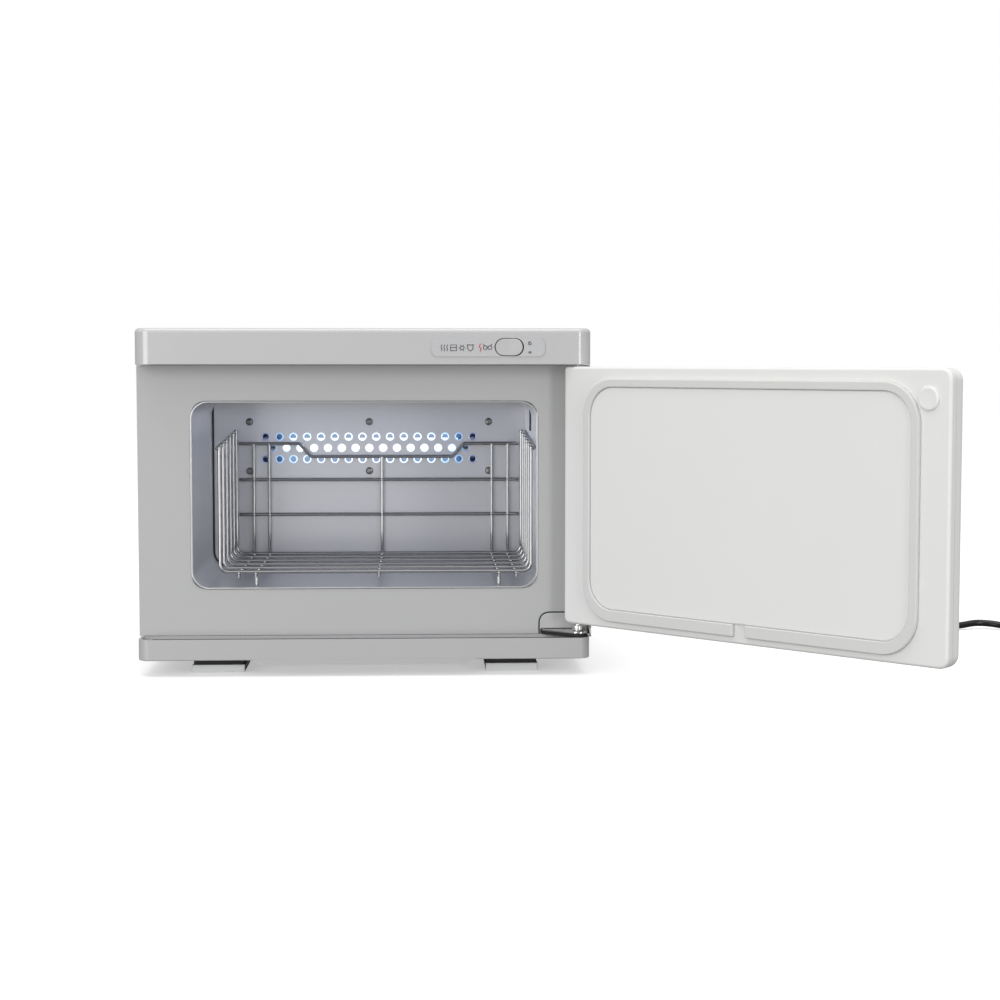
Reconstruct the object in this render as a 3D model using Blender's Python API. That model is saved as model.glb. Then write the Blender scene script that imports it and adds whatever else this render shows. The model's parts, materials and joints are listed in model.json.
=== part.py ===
"""UV sterilizer cabinet for a barber's or hairdresser's counter, with its door open.

Metres, +Z up, the front of the cabinet towards -Y. The origin is on the underside of the bottom
service cover, in the middle of the cabinet's width and depth, 10.8 mm above the table.
"""

import math

import bmesh
import bpy
from mathutils import Matrix, Vector

MM = 0.001
GAP = 0.3 * MM

# Planes of the cabinet.
TABLE = -10.8 * MM
FRONT = -104.0 * MM
BACK = FRONT + 226.6 * MM

# Body.
HALF_WIDTH = 176.2 * MM
BODY_BOTTOM = TABLE + 28.8 * MM
BODY_TOP = TABLE + 240.1 * MM
SHEET = 1.2 * MM

# Top cover, which stands forward of the body over the door.
COVER_HALF_WIDTH = 175.2 * MM
COVER_FRONT = FRONT - 24.0 * MM
COVER_BACK = FRONT + 228.0 * MM
COVER_BOTTOM = TABLE + 240.4 * MM
COVER_TOP = TABLE + 268.4 * MM
COVER_WALL = 2.5 * MM

# Chamber.
CHAMBER_HALF = 134.2 * MM
CHAMBER_LOW = TABLE + 66.5 * MM
CHAMBER_HIGH = TABLE + 211.0 * MM
CHAMBER_RADIUS = 13.0 * MM
CHAMBER_BACK = FRONT + 161.4 * MM
LINER_WALL = 1.0 * MM

# Lamp and the holes in front of it.
LAMP_HEIGHT = TABLE + 168.5 * MM
HOLE_ROW_PITCH = 9.6 * MM
HOLE_PITCH = 11.85 * MM
HOLE_RADIUS = 3.3 * MM
LAMP_SCREW_X = (-102.5 * MM, 0.0, 102.5 * MM)
LAMP_SCREW_Z = (TABLE + 148.8 * MM, TABLE + 191.0 * MM)

# Door, measured from its hinge axis: along the door, and from its outer to its inner face.
HINGE_X = 166.0 * MM
HINGE_Y = FRONT - 14.3 * MM
DOOR_OPEN = math.radians(133.2)
DOOR_LENGTH = 338.0 * MM
DOOR_HEEL = 7.0 * MM
DOOR_LOW = TABLE + 39.7 * MM
DOOR_HIGH = TABLE + 239.0 * MM
DOOR_OUTER = -9.5 * MM
DOOR_SPLIT = 4.0 * MM
DOOR_INNER = 10.0 * MM
DOOR_RADIUS = 8.5 * MM
FIELD_RISE = 2.0 * MM
SEAL_INNER = (23.0 * MM, 309.0 * MM)
SEAL_LOW = TABLE + 54.3 * MM
SEAL_HIGH = TABLE + 223.6 * MM
SEAL_RADIUS = 22.0 * MM
SEAL_WIDTH = 6.3 * MM
SEAL_FOOT = 9.0 * MM
SEAL_TOP = 13.4 * MM
SEAL_GAP = (161.5 * MM, 172.5 * MM)
MAGNET_S = 320.8 * MM
MAGNET_Z = TABLE + 218.8 * MM
MAGNET_RADIUS = 8.2 * MM
PIN_RADIUS = 2.5 * MM
BUSH_BORE = 2.6 * MM
BUSH_RADIUS = 4.5 * MM

# Base, drip tray and feet.
BASE_BOTTOM = TABLE + 12.5 * MM
BASE_TOP = TABLE + 28.4 * MM
TRAY_HALF = 174.8 * MM
TRAY_TOP = TABLE + 28.5 * MM
TRAY_WALL = 2.0 * MM
PAN_HALF = 85.5 * MM
PAN_BACK = FRONT + 62.0 * MM
LIP_BOTTOM = TABLE + 8.8 * MM
FOOT_X = (94.5 * MM, 135.5 * MM)
FOOT_LENGTH = 51.0 * MM
FOOT_SOLE = 5.5 * MM

# Rocker switch in the front of the cover.
ROCKER_X = 111.9 * MM
ROCKER_Z = TABLE + 253.9 * MM
ROCKER_HALF = (10.5 * MM, 6.1 * MM)
ROCKER_AXIS_Y = COVER_FRONT + 4.0 * MM
ROCKER_TILT = math.radians(-6.0)

# Wire basket, which stands a little to the right of the middle.
WIRE = 1.4 * MM
BASKET_LEFT = -113.5 * MM
BASKET_RIGHT = 130.2 * MM
BASKET_FLOOR = TABLE + 78.0 * MM
ROD_Z = BASKET_FLOOR - 2.4 * MM
HOOP_Y = [FRONT + (6.0 + 30.0 * i) * MM for i in range(6)]
BASKET_BACK = FRONT + 158.0 * MM
ROD_X = (-98.9 * MM, -85.7 * MM, 10.7 * MM, 105.1 * MM, 118.8 * MM)
RAIL_FRONT = TABLE + 175.0 * MM
RAIL_BACK = TABLE + 182.5 * MM

# Power cord.
CORD_RADIUS = 3.0 * MM
CORD_LOW = TABLE + 3.1 * MM
INLET = (130.0 * MM, BACK, TABLE + 40.0 * MM)
RELIEF_LENGTH = 32.0 * MM
COIL_CENTRE = (621.0 * MM, FRONT + 160.0 * MM)
COIL_RADIUS = 33.0 * MM
COIL_HALF_WIDTH = 6.0 * MM
COIL_HEIGHT = 12.2 * MM
CORD_ROUTE = [
    (130.0, 259.4, 40.0), (130.3, 268.0, 39.2), (133.5, 280.0, 34.0), (143.0, 290.5, 23.0),
    (158.0, 297.0, 11.5), (178.0, 299.0, 4.6), (205.0, 296.0, 3.1), (250.0, 284.0, 3.1),
    (300.0, 267.0, 3.1), (350.0, 249.0, 3.1), (400.0, 232.0, 3.1), (450.0, 219.0, 3.1),
    (490.0, 213.5, 3.1), (516.0, 215.5, 3.1), (534.0, 222.0, 3.7), (548.0, 227.0, 5.0),
    (560.0, 226.5, 4.7), (570.5, 219.5, 3.6), (578.5, 208.0, 3.1), (583.0, 195.5, 3.1),
    (585.0, 183.5, 3.1),
]
PLUG_START = (659.0 * MM, FRONT + 186.0 * MM)
PLUG_LENGTH = 36.0 * MM


def clear_scene():
    for obj in list(bpy.data.objects):
        bpy.data.objects.remove(obj, do_unlink=True)


def new_collection(name):
    collection = bpy.data.collections.new(name)
    bpy.context.scene.collection.children.link(collection)
    return collection


def material(name, colour, roughness, metallic=0.0):
    made = bpy.data.materials.new(name)
    made.use_nodes = True
    shader = made.node_tree.nodes["Principled BSDF"]
    shader.inputs["Base Color"].default_value = (*colour, 1.0)
    shader.inputs["Roughness"].default_value = roughness
    shader.inputs["Metallic"].default_value = metallic
    return made


def add_object(name, data, finish=None, cutter=False):
    obj = bpy.data.objects.new(name, data)
    (CUTTERS if cutter else PARTS).objects.link(obj)
    if cutter:
        obj.hide_render = True
        obj.display_type = "WIRE"
    if finish:
        obj.data.materials.append(finish)
    return obj


def box_bmesh(low, high, radius=0.0, segments=3, axis=None, keep=None):
    """A box, with the edges along one axis or all of them rounded, where keep allows."""
    low, high = Vector(low), Vector(high)
    mesh = bmesh.new()
    bmesh.ops.create_cube(mesh, size=1.0)
    size = high - low
    bmesh.ops.scale(mesh, vec=size, verts=mesh.verts)
    bmesh.ops.translate(mesh, vec=(low + high) / 2, verts=mesh.verts)
    if radius:
        edges = []
        for edge in mesh.edges:
            along = (edge.verts[1].co - edge.verts[0].co).normalized()
            middle = (edge.verts[0].co + edge.verts[1].co) / 2
            if axis is not None and abs(along["XYZ".index(axis)]) < 0.9:
                continue
            if keep is None or keep(middle):
                edges.append(edge)
        bmesh.ops.bevel(mesh, geom=edges, offset=radius, segments=segments, profile=0.5,
                        affect="EDGES", clamp_overlap=True)
    return mesh


def soften(mesh, radius, segments, chosen):
    """Rounds the edges whose two ends both pass the test."""
    edges = [e for e in mesh.edges if all(chosen(v.co) for v in e.verts) and len(e.link_faces) == 2
             and e.calc_face_angle() > 0.6]
    bmesh.ops.bevel(mesh, geom=edges, offset=radius, segments=segments, profile=0.5,
                    affect="EDGES", clamp_overlap=True)
    return mesh


def mesh_object(name, mesh, finish=None, cutter=False):
    data = bpy.data.meshes.new(name)
    bmesh.ops.recalc_face_normals(mesh, faces=mesh.faces)
    mesh.to_mesh(data)
    mesh.free()
    return add_object(name, data, finish, cutter)


def box(name, low, high, finish=None, cutter=False, **rounding):
    return mesh_object(name, box_bmesh(low, high, **rounding), finish, cutter)


def cylinder(name, start, end, radius, finish=None, end_radius=None, sides=16, cutter=False):
    """A cylinder or cone between two points."""
    start, end = Vector(start), Vector(end)
    mesh = bmesh.new()
    bmesh.ops.create_cone(mesh, cap_ends=True, segments=sides, radius1=radius,
                          radius2=radius if end_radius is None else end_radius,
                          depth=(end - start).length)
    turn = Vector((0, 0, 1)).rotation_difference(end - start).to_matrix().to_4x4()
    bmesh.ops.transform(mesh, matrix=Matrix.Translation((start + end) / 2) @ turn, verts=mesh.verts)
    obj = mesh_object(name, mesh, finish, cutter)
    if not cutter:
        obj.data.shade_smooth()
        obj.data.set_sharp_from_angle(angle=math.radians(40))
    return obj


def boolean(obj, other, operation="DIFFERENCE"):
    change = obj.modifiers.new(operation.title() + " " + other.name, "BOOLEAN")
    change.operation = operation
    change.object = other
    change.solver = "EXACT"
    return obj


def wire_curve(name, points, radius, finish=None, resolution=2):
    curve = bpy.data.curves.new(name, "CURVE")
    curve.dimensions = "3D"
    curve.bevel_depth = radius
    curve.bevel_resolution = resolution
    curve.use_fill_caps = True
    spline = curve.splines.new("POLY")
    spline.points.add(len(points) - 1)
    for point, place in zip(spline.points, points):
        point.co = (*place, 1.0)
    return add_object(name, curve, finish)


def as_mesh(obj, cutter=False):
    """The same shape as a mesh object, because a curve takes no Boolean."""
    graph = bpy.context.evaluated_depsgraph_get()
    data = bpy.data.meshes.new_from_object(obj.evaluated_get(graph))
    mesh = bmesh.new()
    mesh.from_mesh(data)
    bmesh.ops.remove_doubles(mesh, verts=mesh.verts, dist=1e-6)
    mesh.to_mesh(data)
    mesh.free()
    name, place = obj.name, obj.matrix_world.copy()
    finish = obj.data.materials[0] if obj.data.materials else None
    bpy.data.objects.remove(obj, do_unlink=True)
    made = add_object(name, data, None if data.materials else finish, cutter)
    made.matrix_world = place
    return made


def welded_wires(name, routes, finish):
    """Wires that cross, joined into one solid."""
    first, *others = routes
    joined = as_mesh(wire_curve(name, first, WIRE, finish))
    for number, route in enumerate(others):
        other = as_mesh(wire_curve(f"{name}_wire_{number}", route, WIRE), cutter=True)
        boolean(joined, other, "UNION")
    return joined


def smooth_route(points, step):
    """Points a step apart along the smooth curve through the route's own points."""
    points = [Vector(p) for p in points]
    ends = [points[0] * 2 - points[1], *points, points[-1] * 2 - points[-2]]
    fine = []
    for a, b, c, d in zip(ends, ends[1:], ends[2:], ends[3:]):
        for i in range(20):
            t = i / 20
            fine.append(0.5 * ((2 * b) + (c - a) * t + (2 * a - 5 * b + 4 * c - d) * t * t
                               + (3 * b - a - 3 * c + d) * t ** 3))
    fine.append(points[-1])
    kept, travelled = [fine[0]], 0.0
    for a, b in zip(fine, fine[1:]):
        travelled += (b - a).length
        if travelled >= step:
            kept.append(b)
            travelled = 0.0
    if travelled < step / 2:
        kept.pop()
    return kept + [fine[-1]]


def from_table(route):
    """A route in millimetres from the front face and the table, in metres from the origin."""
    return [(x * MM, FRONT + y * MM, TABLE + z * MM) for x, y, z in route]


def arc(centre, radius, start, end, steps):
    """Points on an arc in a plane, the angles in degrees."""
    angles = [math.radians(start + (end - start) * i / steps) for i in range(steps + 1)]
    return [(centre[0] + radius * math.cos(a), centre[1] + radius * math.sin(a)) for a in angles]


# Body ---------------------------------------------------------------------------------------


def build_front_frame():
    frame = box("front_frame", (-HALF_WIDTH, FRONT, BODY_BOTTOM),
                (HALF_WIDTH, FRONT + 1.5 * MM, BODY_TOP), PAINT)
    wall = LINER_WALL + GAP
    hole = box("front_frame_opening",
               (-CHAMBER_HALF - wall, FRONT - 0.01, CHAMBER_LOW - wall),
               (CHAMBER_HALF + wall, FRONT + 0.01, CHAMBER_HIGH + wall),
               cutter=True, radius=CHAMBER_RADIUS + wall, segments=4, axis="Y")
    boolean(frame, hole)


def build_outer_case():
    """One folded sheet: left side, top and right side."""
    low, high = FRONT + 1.8 * MM, BACK - 1.8 * MM
    case = box("outer_case", (-HALF_WIDTH, low, BODY_BOTTOM), (HALF_WIDTH, high, BODY_TOP), PAINT)
    inside = box("outer_case_inside", (-HALF_WIDTH + SHEET, low - 0.01, BODY_BOTTOM - 0.01),
                 (HALF_WIDTH - SHEET, high + 0.01, BODY_TOP - SHEET), cutter=True)
    boolean(case, inside)
    grommet = cylinder("outer_case_wire_hole", (152 * MM, FRONT + 200 * MM, BODY_TOP - 0.01),
                       (152 * MM, FRONT + 200 * MM, BODY_TOP + 0.01), 5 * MM, cutter=True)
    boolean(case, grommet)


def build_back_panel():
    panel = box("back_panel", (-HALF_WIDTH, BACK - 1.5 * MM, BODY_BOTTOM),
                (HALF_WIDTH, BACK, BODY_TOP), PAINT)
    x, y, z = INLET
    boolean(panel, cylinder("back_panel_inlet", (x, y - 0.01, z), (x, y + 0.01, z), 6.5 * MM,
                            cutter=True))


def build_top_cover():
    outer = box_bmesh((-COVER_HALF_WIDTH, COVER_FRONT, COVER_BOTTOM),
                      (COVER_HALF_WIDTH, COVER_BACK, COVER_TOP), radius=9 * MM, segments=4, axis="Z")
    soften(outer, 3.5 * MM, 3, lambda co: co.z > COVER_TOP - 1e-5)
    cover = mesh_object("top_cover", outer, COVER_WHITE)
    inner_front, inner_top = COVER_FRONT + COVER_WALL, COVER_TOP - COVER_WALL
    side = COVER_HALF_WIDTH - COVER_WALL
    over_body = box("top_cover_over_body", (-side, FRONT - 0.4 * MM, COVER_BOTTOM - 0.01),
                    (side, COVER_BACK - COVER_WALL, inner_top), cutter=True,
                    radius=6.5 * MM, segments=3, axis="Z", keep=lambda m: m.y > 0)
    boolean(cover, over_body)
    over_door = box("top_cover_over_door", (-side, inner_front, COVER_BOTTOM + COVER_WALL),
                    (side, FRONT + 5 * MM, inner_top), cutter=True,
                    radius=6.5 * MM, segments=3, axis="Z", keep=lambda m: m.y < FRONT)
    boolean(cover, over_door)
    clearance = 0.8 * MM
    rocker_hole = box("top_cover_rocker_hole",
                      (ROCKER_X - ROCKER_HALF[0] - clearance, COVER_FRONT - 0.01,
                       ROCKER_Z - ROCKER_HALF[1] - clearance),
                      (ROCKER_X + ROCKER_HALF[0] + clearance, COVER_FRONT + 0.01,
                       ROCKER_Z + ROCKER_HALF[1] + clearance),
                      cutter=True, radius=ROCKER_HALF[1], segments=5, axis="Y")
    boolean(cover, rocker_hole)
    pin_hole = cylinder("top_cover_pin_hole", (HINGE_X, HINGE_Y, COVER_BOTTOM - 0.002),
                        (HINGE_X, HINGE_Y, COVER_BOTTOM + 0.01), 3.2 * MM, cutter=True)
    boolean(cover, pin_hole)


def build_control_overlay():
    front = COVER_FRONT - GAP
    overlay = box("control_overlay", (52 * MM, front - 0.4 * MM, TABLE + 246.6 * MM),
                  (139.5 * MM, front, TABLE + 261.2 * MM), OVERLAY, radius=5 * MM, segments=3, axis="Y")
    clearance = 0.8 * MM
    hole = box("control_overlay_hole",
               (ROCKER_X - ROCKER_HALF[0] - clearance, front - 0.01,
                ROCKER_Z - ROCKER_HALF[1] - clearance),
               (ROCKER_X + ROCKER_HALF[0] + clearance, front + 0.01,
                ROCKER_Z + ROCKER_HALF[1] + clearance),
               cutter=True, radius=ROCKER_HALF[1], segments=5, axis="Y")
    boolean(overlay, hole)


def build_switch():
    """The fixed switch housing, and the rocker in it, pressed in on its left."""
    body = box("switch_body", (ROCKER_X - 13.5 * MM, COVER_FRONT + 2.8 * MM, ROCKER_Z - 8.4 * MM),
               (ROCKER_X + 13.5 * MM, COVER_FRONT + 16 * MM, ROCKER_Z + 8.4 * MM), BLACK)
    well = box("switch_body_well",
               (ROCKER_X - 11.8 * MM, COVER_FRONT - 0.01, ROCKER_Z - 6.9 * MM),
               (ROCKER_X + 11.8 * MM, COVER_FRONT + 13 * MM, ROCKER_Z + 6.9 * MM),
               cutter=True, radius=6.1 * MM, segments=5, axis="Y")
    boolean(body, well)
    mesh = box_bmesh((-ROCKER_HALF[0], -5 * MM, -ROCKER_HALF[1]), (ROCKER_HALF[0], 6 * MM, ROCKER_HALF[1]),
                     radius=5.9 * MM, segments=5, axis="Y")
    soften(mesh, 0.6 * MM, 1, lambda co: co.y < -4.99 * MM)
    rocker = mesh_object("rocker_switch", mesh, ROCKER_WHITE)
    rocker.location = (ROCKER_X, ROCKER_AXIS_Y, ROCKER_Z)
    rocker.rotation_euler = (0, 0, ROCKER_TILT)


# Chamber ------------------------------------------------------------------------------------


def build_liner():
    low, high = FRONT - 0.6 * MM, CHAMBER_BACK - GAP
    wall = LINER_WALL
    liner = box("liner", (-CHAMBER_HALF - wall, low, CHAMBER_LOW - wall),
                (CHAMBER_HALF + wall, high, CHAMBER_HIGH + wall), ALUMINIUM,
                radius=CHAMBER_RADIUS + wall, segments=4, axis="Y")
    inside = box("liner_inside", (-CHAMBER_HALF, low - 0.01, CHAMBER_LOW),
                 (CHAMBER_HALF, high + 0.01, CHAMBER_HIGH), cutter=True,
                 radius=CHAMBER_RADIUS, segments=4, axis="Y")
    boolean(liner, inside)


def lamp_holes():
    """Places of the holes in front of the lamp: rows of 16, 15 and 16, the middle one staggered."""
    places = []
    for row, count in ((-1, 16), (0, 15), (1, 16)):
        for i in range(count):
            places.append(((i - (count - 1) / 2) * HOLE_PITCH, LAMP_HEIGHT + row * HOLE_ROW_PITCH))
    return places


def holes_cutter(name, places, radius, low, high, sides):
    mesh = bmesh.new()
    turn = Matrix.Rotation(math.radians(90), 4, "X")
    for x, z in places:
        place = Matrix.Translation((x, (low + high) / 2, z)) @ turn
        bmesh.ops.create_cone(mesh, cap_ends=True, segments=sides, radius1=radius, radius2=radius,
                              depth=high - low, matrix=place)
    return mesh_object(name, mesh, cutter=True)


def screw_places():
    return [(x, z) for z in LAMP_SCREW_Z for x in LAMP_SCREW_X]


def build_liner_back():
    plate = box("liner_back", (-CHAMBER_HALF - 2 * MM, CHAMBER_BACK, CHAMBER_LOW - 2 * MM),
                (CHAMBER_HALF + 2 * MM, CHAMBER_BACK + LINER_WALL, CHAMBER_HIGH + 2 * MM), ALUMINIUM,
                radius=CHAMBER_RADIUS, segments=3, axis="Y")
    low, high = CHAMBER_BACK - 0.01, CHAMBER_BACK + 0.01
    boolean(plate, holes_cutter("liner_back_lamp_holes", lamp_holes(), HOLE_RADIUS, low, high, 8))
    boolean(plate, holes_cutter("liner_back_screw_holes", screw_places(), 1.8 * MM, low, high, 8))


def build_lamp_screws():
    for number, (x, z) in enumerate(screw_places(), 1):
        head = CHAMBER_BACK - GAP
        screw = cylinder(f"lamp_screw_{number}", (x, head - 1.4 * MM, z), (x, head, z), 2.4 * MM,
                         STEEL, end_radius=3.2 * MM, sides=12)
        shank = cylinder(f"lamp_screw_{number}_shank", (x, head - 0.5 * MM, z), (x, head + 6 * MM, z),
                         1.4 * MM, sides=8, cutter=True)
        boolean(screw, shank, "UNION")


def build_lamp_housing():
    """A pressed trough behind the chamber's back wall, with a flange that the screws hold."""
    start = CHAMBER_BACK + LINER_WALL + GAP
    housing = box("lamp_housing", (-109 * MM, start, TABLE + 142 * MM),
                  (109 * MM, start + 1 * MM, TABLE + 198 * MM), REFLECTOR)
    trough = box("lamp_housing_trough", (-97 * MM, start + 0.5 * MM, TABLE + 151.5 * MM),
                 (97 * MM, start + 30 * MM, TABLE + 185.5 * MM), cutter=True,
                 radius=8 * MM, segments=3, axis="X", keep=lambda m: m.y > start + 15 * MM)
    boolean(housing, trough, "UNION")
    hollow = box("lamp_housing_hollow", (-96 * MM, start - 0.01, TABLE + 152.5 * MM),
                 (96 * MM, start + 29 * MM, TABLE + 184.5 * MM), cutter=True,
                 radius=7 * MM, segments=3, axis="X", keep=lambda m: m.y > start + 5 * MM)
    boolean(housing, hollow)
    boolean(housing, holes_cutter("lamp_housing_screw_holes", screw_places(), 1.8 * MM,
                                  start - 0.01, start + 0.01, 8))


def build_lamp():
    y = CHAMBER_BACK + 15 * MM
    cylinder("uv_lamp", (-80 * MM, y, LAMP_HEIGHT), (80 * MM, y, LAMP_HEIGHT), 7.8 * MM, LAMP_GLASS)
    for name, side in (("lamp_holder_left", -1), ("lamp_holder_right", 1)):
        x0, x1 = sorted((side * 80.4 * MM, side * 92 * MM))
        box(name, (x0, y - 9 * MM, LAMP_HEIGHT - 9 * MM), (x1, y + 9 * MM, LAMP_HEIGHT + 9 * MM),
            LAMP_HOLDER, radius=2 * MM, segments=1)


def build_insulation():
    wrap = box("insulation", (-158 * MM, FRONT + 6 * MM, TABLE + 42 * MM),
               (158 * MM, FRONT + 158 * MM, TABLE + 236 * MM), FOAM)
    hole = box("insulation_hole", (-136.5 * MM, FRONT - 0.01, TABLE + 60 * MM),
               (136.5 * MM, FRONT + 0.2, TABLE + 213.5 * MM), cutter=True)
    boolean(wrap, hole)


def build_electrics():
    box("heater_mat", (-110 * MM, FRONT + 20 * MM, TABLE + 62 * MM),
        (110 * MM, FRONT + 140 * MM, TABLE + 64.2 * MM), HEATER)
    back = CHAMBER_BACK + LINER_WALL + GAP
    cylinder("thermostat", (45 * MM, back, TABLE + 110 * MM), (45 * MM, back + 9 * MM, TABLE + 110 * MM),
             8 * MM, BLACK)
    cylinder("thermal_fuse", (-60 * MM, back + 3 * MM, TABLE + 110 * MM),
             (-42 * MM, back + 3 * MM, TABLE + 110 * MM), 2.6 * MM, STEEL, sides=12)
    box("ballast", (-70 * MM, FRONT + 172 * MM, TABLE + 46 * MM),
        (0, FRONT + 208 * MM, TABLE + 76 * MM), STEEL, radius=2 * MM, segments=1)
    cylinder("starter", (-104 * MM, FRONT + 190 * MM, TABLE + 46 * MM),
             (-104 * MM, FRONT + 190 * MM, TABLE + 82 * MM), 10.5 * MM, COVER_WHITE)
    box("terminal_block", (104 * MM, FRONT + 186 * MM, TABLE + 34 * MM),
        (136 * MM, FRONT + 204 * MM, TABLE + 48 * MM), LAMP_HOLDER, radius=1.5 * MM, segments=1)
    loom = from_table([
        (120, 195, 48.6), (122, 197, 66), (136, 200, 96), (150, 200, 140), (152, 200, 190),
        (152, 200, 232), (152, 199, 247), (151, 188, 254.5), (150, 150, 255), (146, 90, 255),
        (132, 35, 254), (117, 8, 253), (112, -6, 253),
    ])
    wire_curve("wiring_loom", smooth_route(loom, 0.018), 2.2 * MM, BLACK)


# Base ---------------------------------------------------------------------------------------


def build_base():
    inside = 171.5 * MM
    base = box("base", (-173.5 * MM, FRONT + 0.5 * MM, BASE_BOTTOM),
               (173.5 * MM, FRONT + 225 * MM, BASE_TOP), BASE_WHITE,
               radius=6 * MM, segments=3, axis="Z", keep=lambda m: m.y > 0)
    rear = box("base_rear_pocket", (-inside, FRONT + 72 * MM, BASE_BOTTOM + 2 * MM),
               (inside, FRONT + 223 * MM, BASE_TOP + 0.01), cutter=True)
    boolean(base, rear)
    for side in (-1, 1):
        x0, x1 = sorted((side * 91 * MM, side * inside))
        pocket = box(f"base_side_pocket_{side}", (x0, FRONT + 2.5 * MM, BASE_BOTTOM + 2 * MM),
                     (x1, FRONT + 73 * MM, BASE_TOP + 0.01), cutter=True)
        boolean(base, pocket)
    tunnel = box("base_tray_tunnel", (-88 * MM, FRONT - 0.01, BASE_BOTTOM - 0.01),
                 (88 * MM, FRONT + 66 * MM, TABLE + 23 * MM), cutter=True)
    boolean(base, tunnel)


def build_bottom_cover():
    box("bottom_cover", (-80 * MM, FRONT + 76 * MM, 0.0), (80 * MM, FRONT + 196 * MM, 1.4 * MM),
        PAINT, radius=4 * MM, segments=2, axis="Z")


def build_drip_tray():
    """A gutter across the front under the door, and a shallow pan behind it between the feet."""
    front, rear = COVER_FRONT, FRONT - 0.5 * MM
    gutter = box_bmesh((-TRAY_HALF, front, BASE_BOTTOM), (TRAY_HALF, rear, TRAY_TOP),
                       radius=9 * MM, segments=4, axis="Z", keep=lambda m: m.y < FRONT - 0.01)
    soften(gutter, 2.0 * MM, 2, lambda co: co.z < BASE_BOTTOM + 1e-5 and co.y < rear - 1e-5)
    tray = mesh_object("drip_tray", gutter, COVER_WHITE)
    lip = bmesh.new()
    bmesh.ops.create_cube(lip, size=1.0)
    for vertex in lip.verts:
        half = (86 if vertex.co.z > 0 else 78) * MM
        vertex.co = (math.copysign(half, vertex.co.x),
                     front + 0.2 * MM if vertex.co.y < 0 else front + 2.4 * MM,
                     BASE_BOTTOM + 2.5 * MM if vertex.co.z > 0 else LIP_BOTTOM)
    boolean(tray, mesh_object("drip_tray_lip", lip, cutter=True), "UNION")
    pan = box("drip_tray_pan", (-PAN_HALF, rear - 6 * MM, TABLE + 10.4 * MM),
              (PAN_HALF, PAN_BACK, TABLE + 21 * MM), cutter=True)
    boolean(tray, pan, "UNION")
    wall = TRAY_WALL
    gutter_hollow = box("drip_tray_gutter_hollow",
                        (-TRAY_HALF + wall, front + wall, BASE_BOTTOM + wall),
                        (TRAY_HALF - wall, rear - wall, TRAY_TOP + 0.01), cutter=True,
                        radius=7 * MM, segments=3, axis="Z", keep=lambda m: m.y < FRONT - 0.01)
    boolean(tray, gutter_hollow)
    pan_hollow = box("drip_tray_pan_hollow", (-PAN_HALF + wall, rear - 5 * MM, BASE_BOTTOM + wall),
                     (PAN_HALF - wall, PAN_BACK - wall, TABLE + 21.4 * MM), cutter=True)
    boolean(tray, pan_hollow)


def build_feet():
    """Each foot is a dark block under the base with a light shoe on it."""
    length = FOOT_LENGTH
    starts = {"front": FRONT + 0.8 * MM, "rear": FRONT + 160 * MM}
    for row, start in starts.items():
        for side, sign in (("left", -1), ("right", 1)):
            x0, x1 = sorted((sign * FOOT_X[0], sign * FOOT_X[1]))
            box(f"foot_{row}_{side}", (x0 + 1.2 * MM, start, TABLE + FOOT_SOLE + GAP),
                (x1 - 1.2 * MM, start + length, BASE_BOTTOM - GAP), RUBBER)
            box(f"foot_shoe_{row}_{side}", (x0, start - 1 * MM, TABLE),
                (x1, start + length + 1 * MM, TABLE + FOOT_SOLE), SHOE,
                radius=1.2 * MM, segments=2, axis="Z")


# Hinges -------------------------------------------------------------------------------------


def corner_leaf(name, low, high, back, nose_radius, finish):
    """A plate with a slanting front edge, from the front of the body out round the hinge pin."""
    curve = bpy.data.curves.new(name, "CURVE")
    curve.dimensions = "2D"
    curve.fill_mode = "BOTH"
    curve.extrude = (high - low) / 2
    spline = curve.splines.new("POLY")
    nose = arc((HINGE_X, HINGE_Y), nose_radius, -120, 0, 5)
    outline = [(140.5 * MM, back), *nose, (HINGE_X + nose_radius, back)]
    spline.points.add(len(outline) - 1)
    for point, (x, y) in zip(spline.points, outline):
        point.co = (x, y, 0.0, 1.0)
    spline.use_cyclic_u = True
    leaf = add_object(name, curve, finish)
    leaf.location = (0, 0, (low + high) / 2)
    bpy.context.view_layer.update()
    return as_mesh(leaf)


def build_lower_hinge():
    """A moulded plate on the body's front with a steel leaf standing out of it, and the pin on the leaf."""
    box("lower_hinge_block", (137 * MM, FRONT - 1.7 * MM, TABLE + 29.2 * MM),
        (174.8 * MM, FRONT - 0.3 * MM, TABLE + 45.5 * MM), PAINT, radius=8.5 * MM, segments=4,
        axis="Y", keep=lambda m: m.x < 0.15 and m.z > TABLE + 40 * MM)
    leaf_low, leaf_high = TABLE + 31.6 * MM, TABLE + 33.2 * MM
    leaf = corner_leaf("lower_hinge_leaf", leaf_low, leaf_high, FRONT - 2.1 * MM, 8.2 * MM, STEEL)
    boolean(leaf, cylinder("lower_hinge_leaf_hole", (HINGE_X, HINGE_Y, leaf_low - 0.01),
                           (HINGE_X, HINGE_Y, leaf_high + 0.01), PIN_RADIUS + GAP, cutter=True))
    pin = cylinder("lower_hinge_pin", (HINGE_X, HINGE_Y, leaf_low - 1 * MM),
                   (HINGE_X, HINGE_Y, DOOR_LOW + 9 * MM), PIN_RADIUS, STEEL, sides=24)
    collar = cylinder("lower_hinge_pin_collar", (HINGE_X, HINGE_Y, leaf_high + GAP),
                      (HINGE_X, HINGE_Y, DOOR_LOW - 2.2 * MM), 4.4 * MM, sides=24, cutter=True)
    boolean(pin, collar, "UNION")


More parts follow.
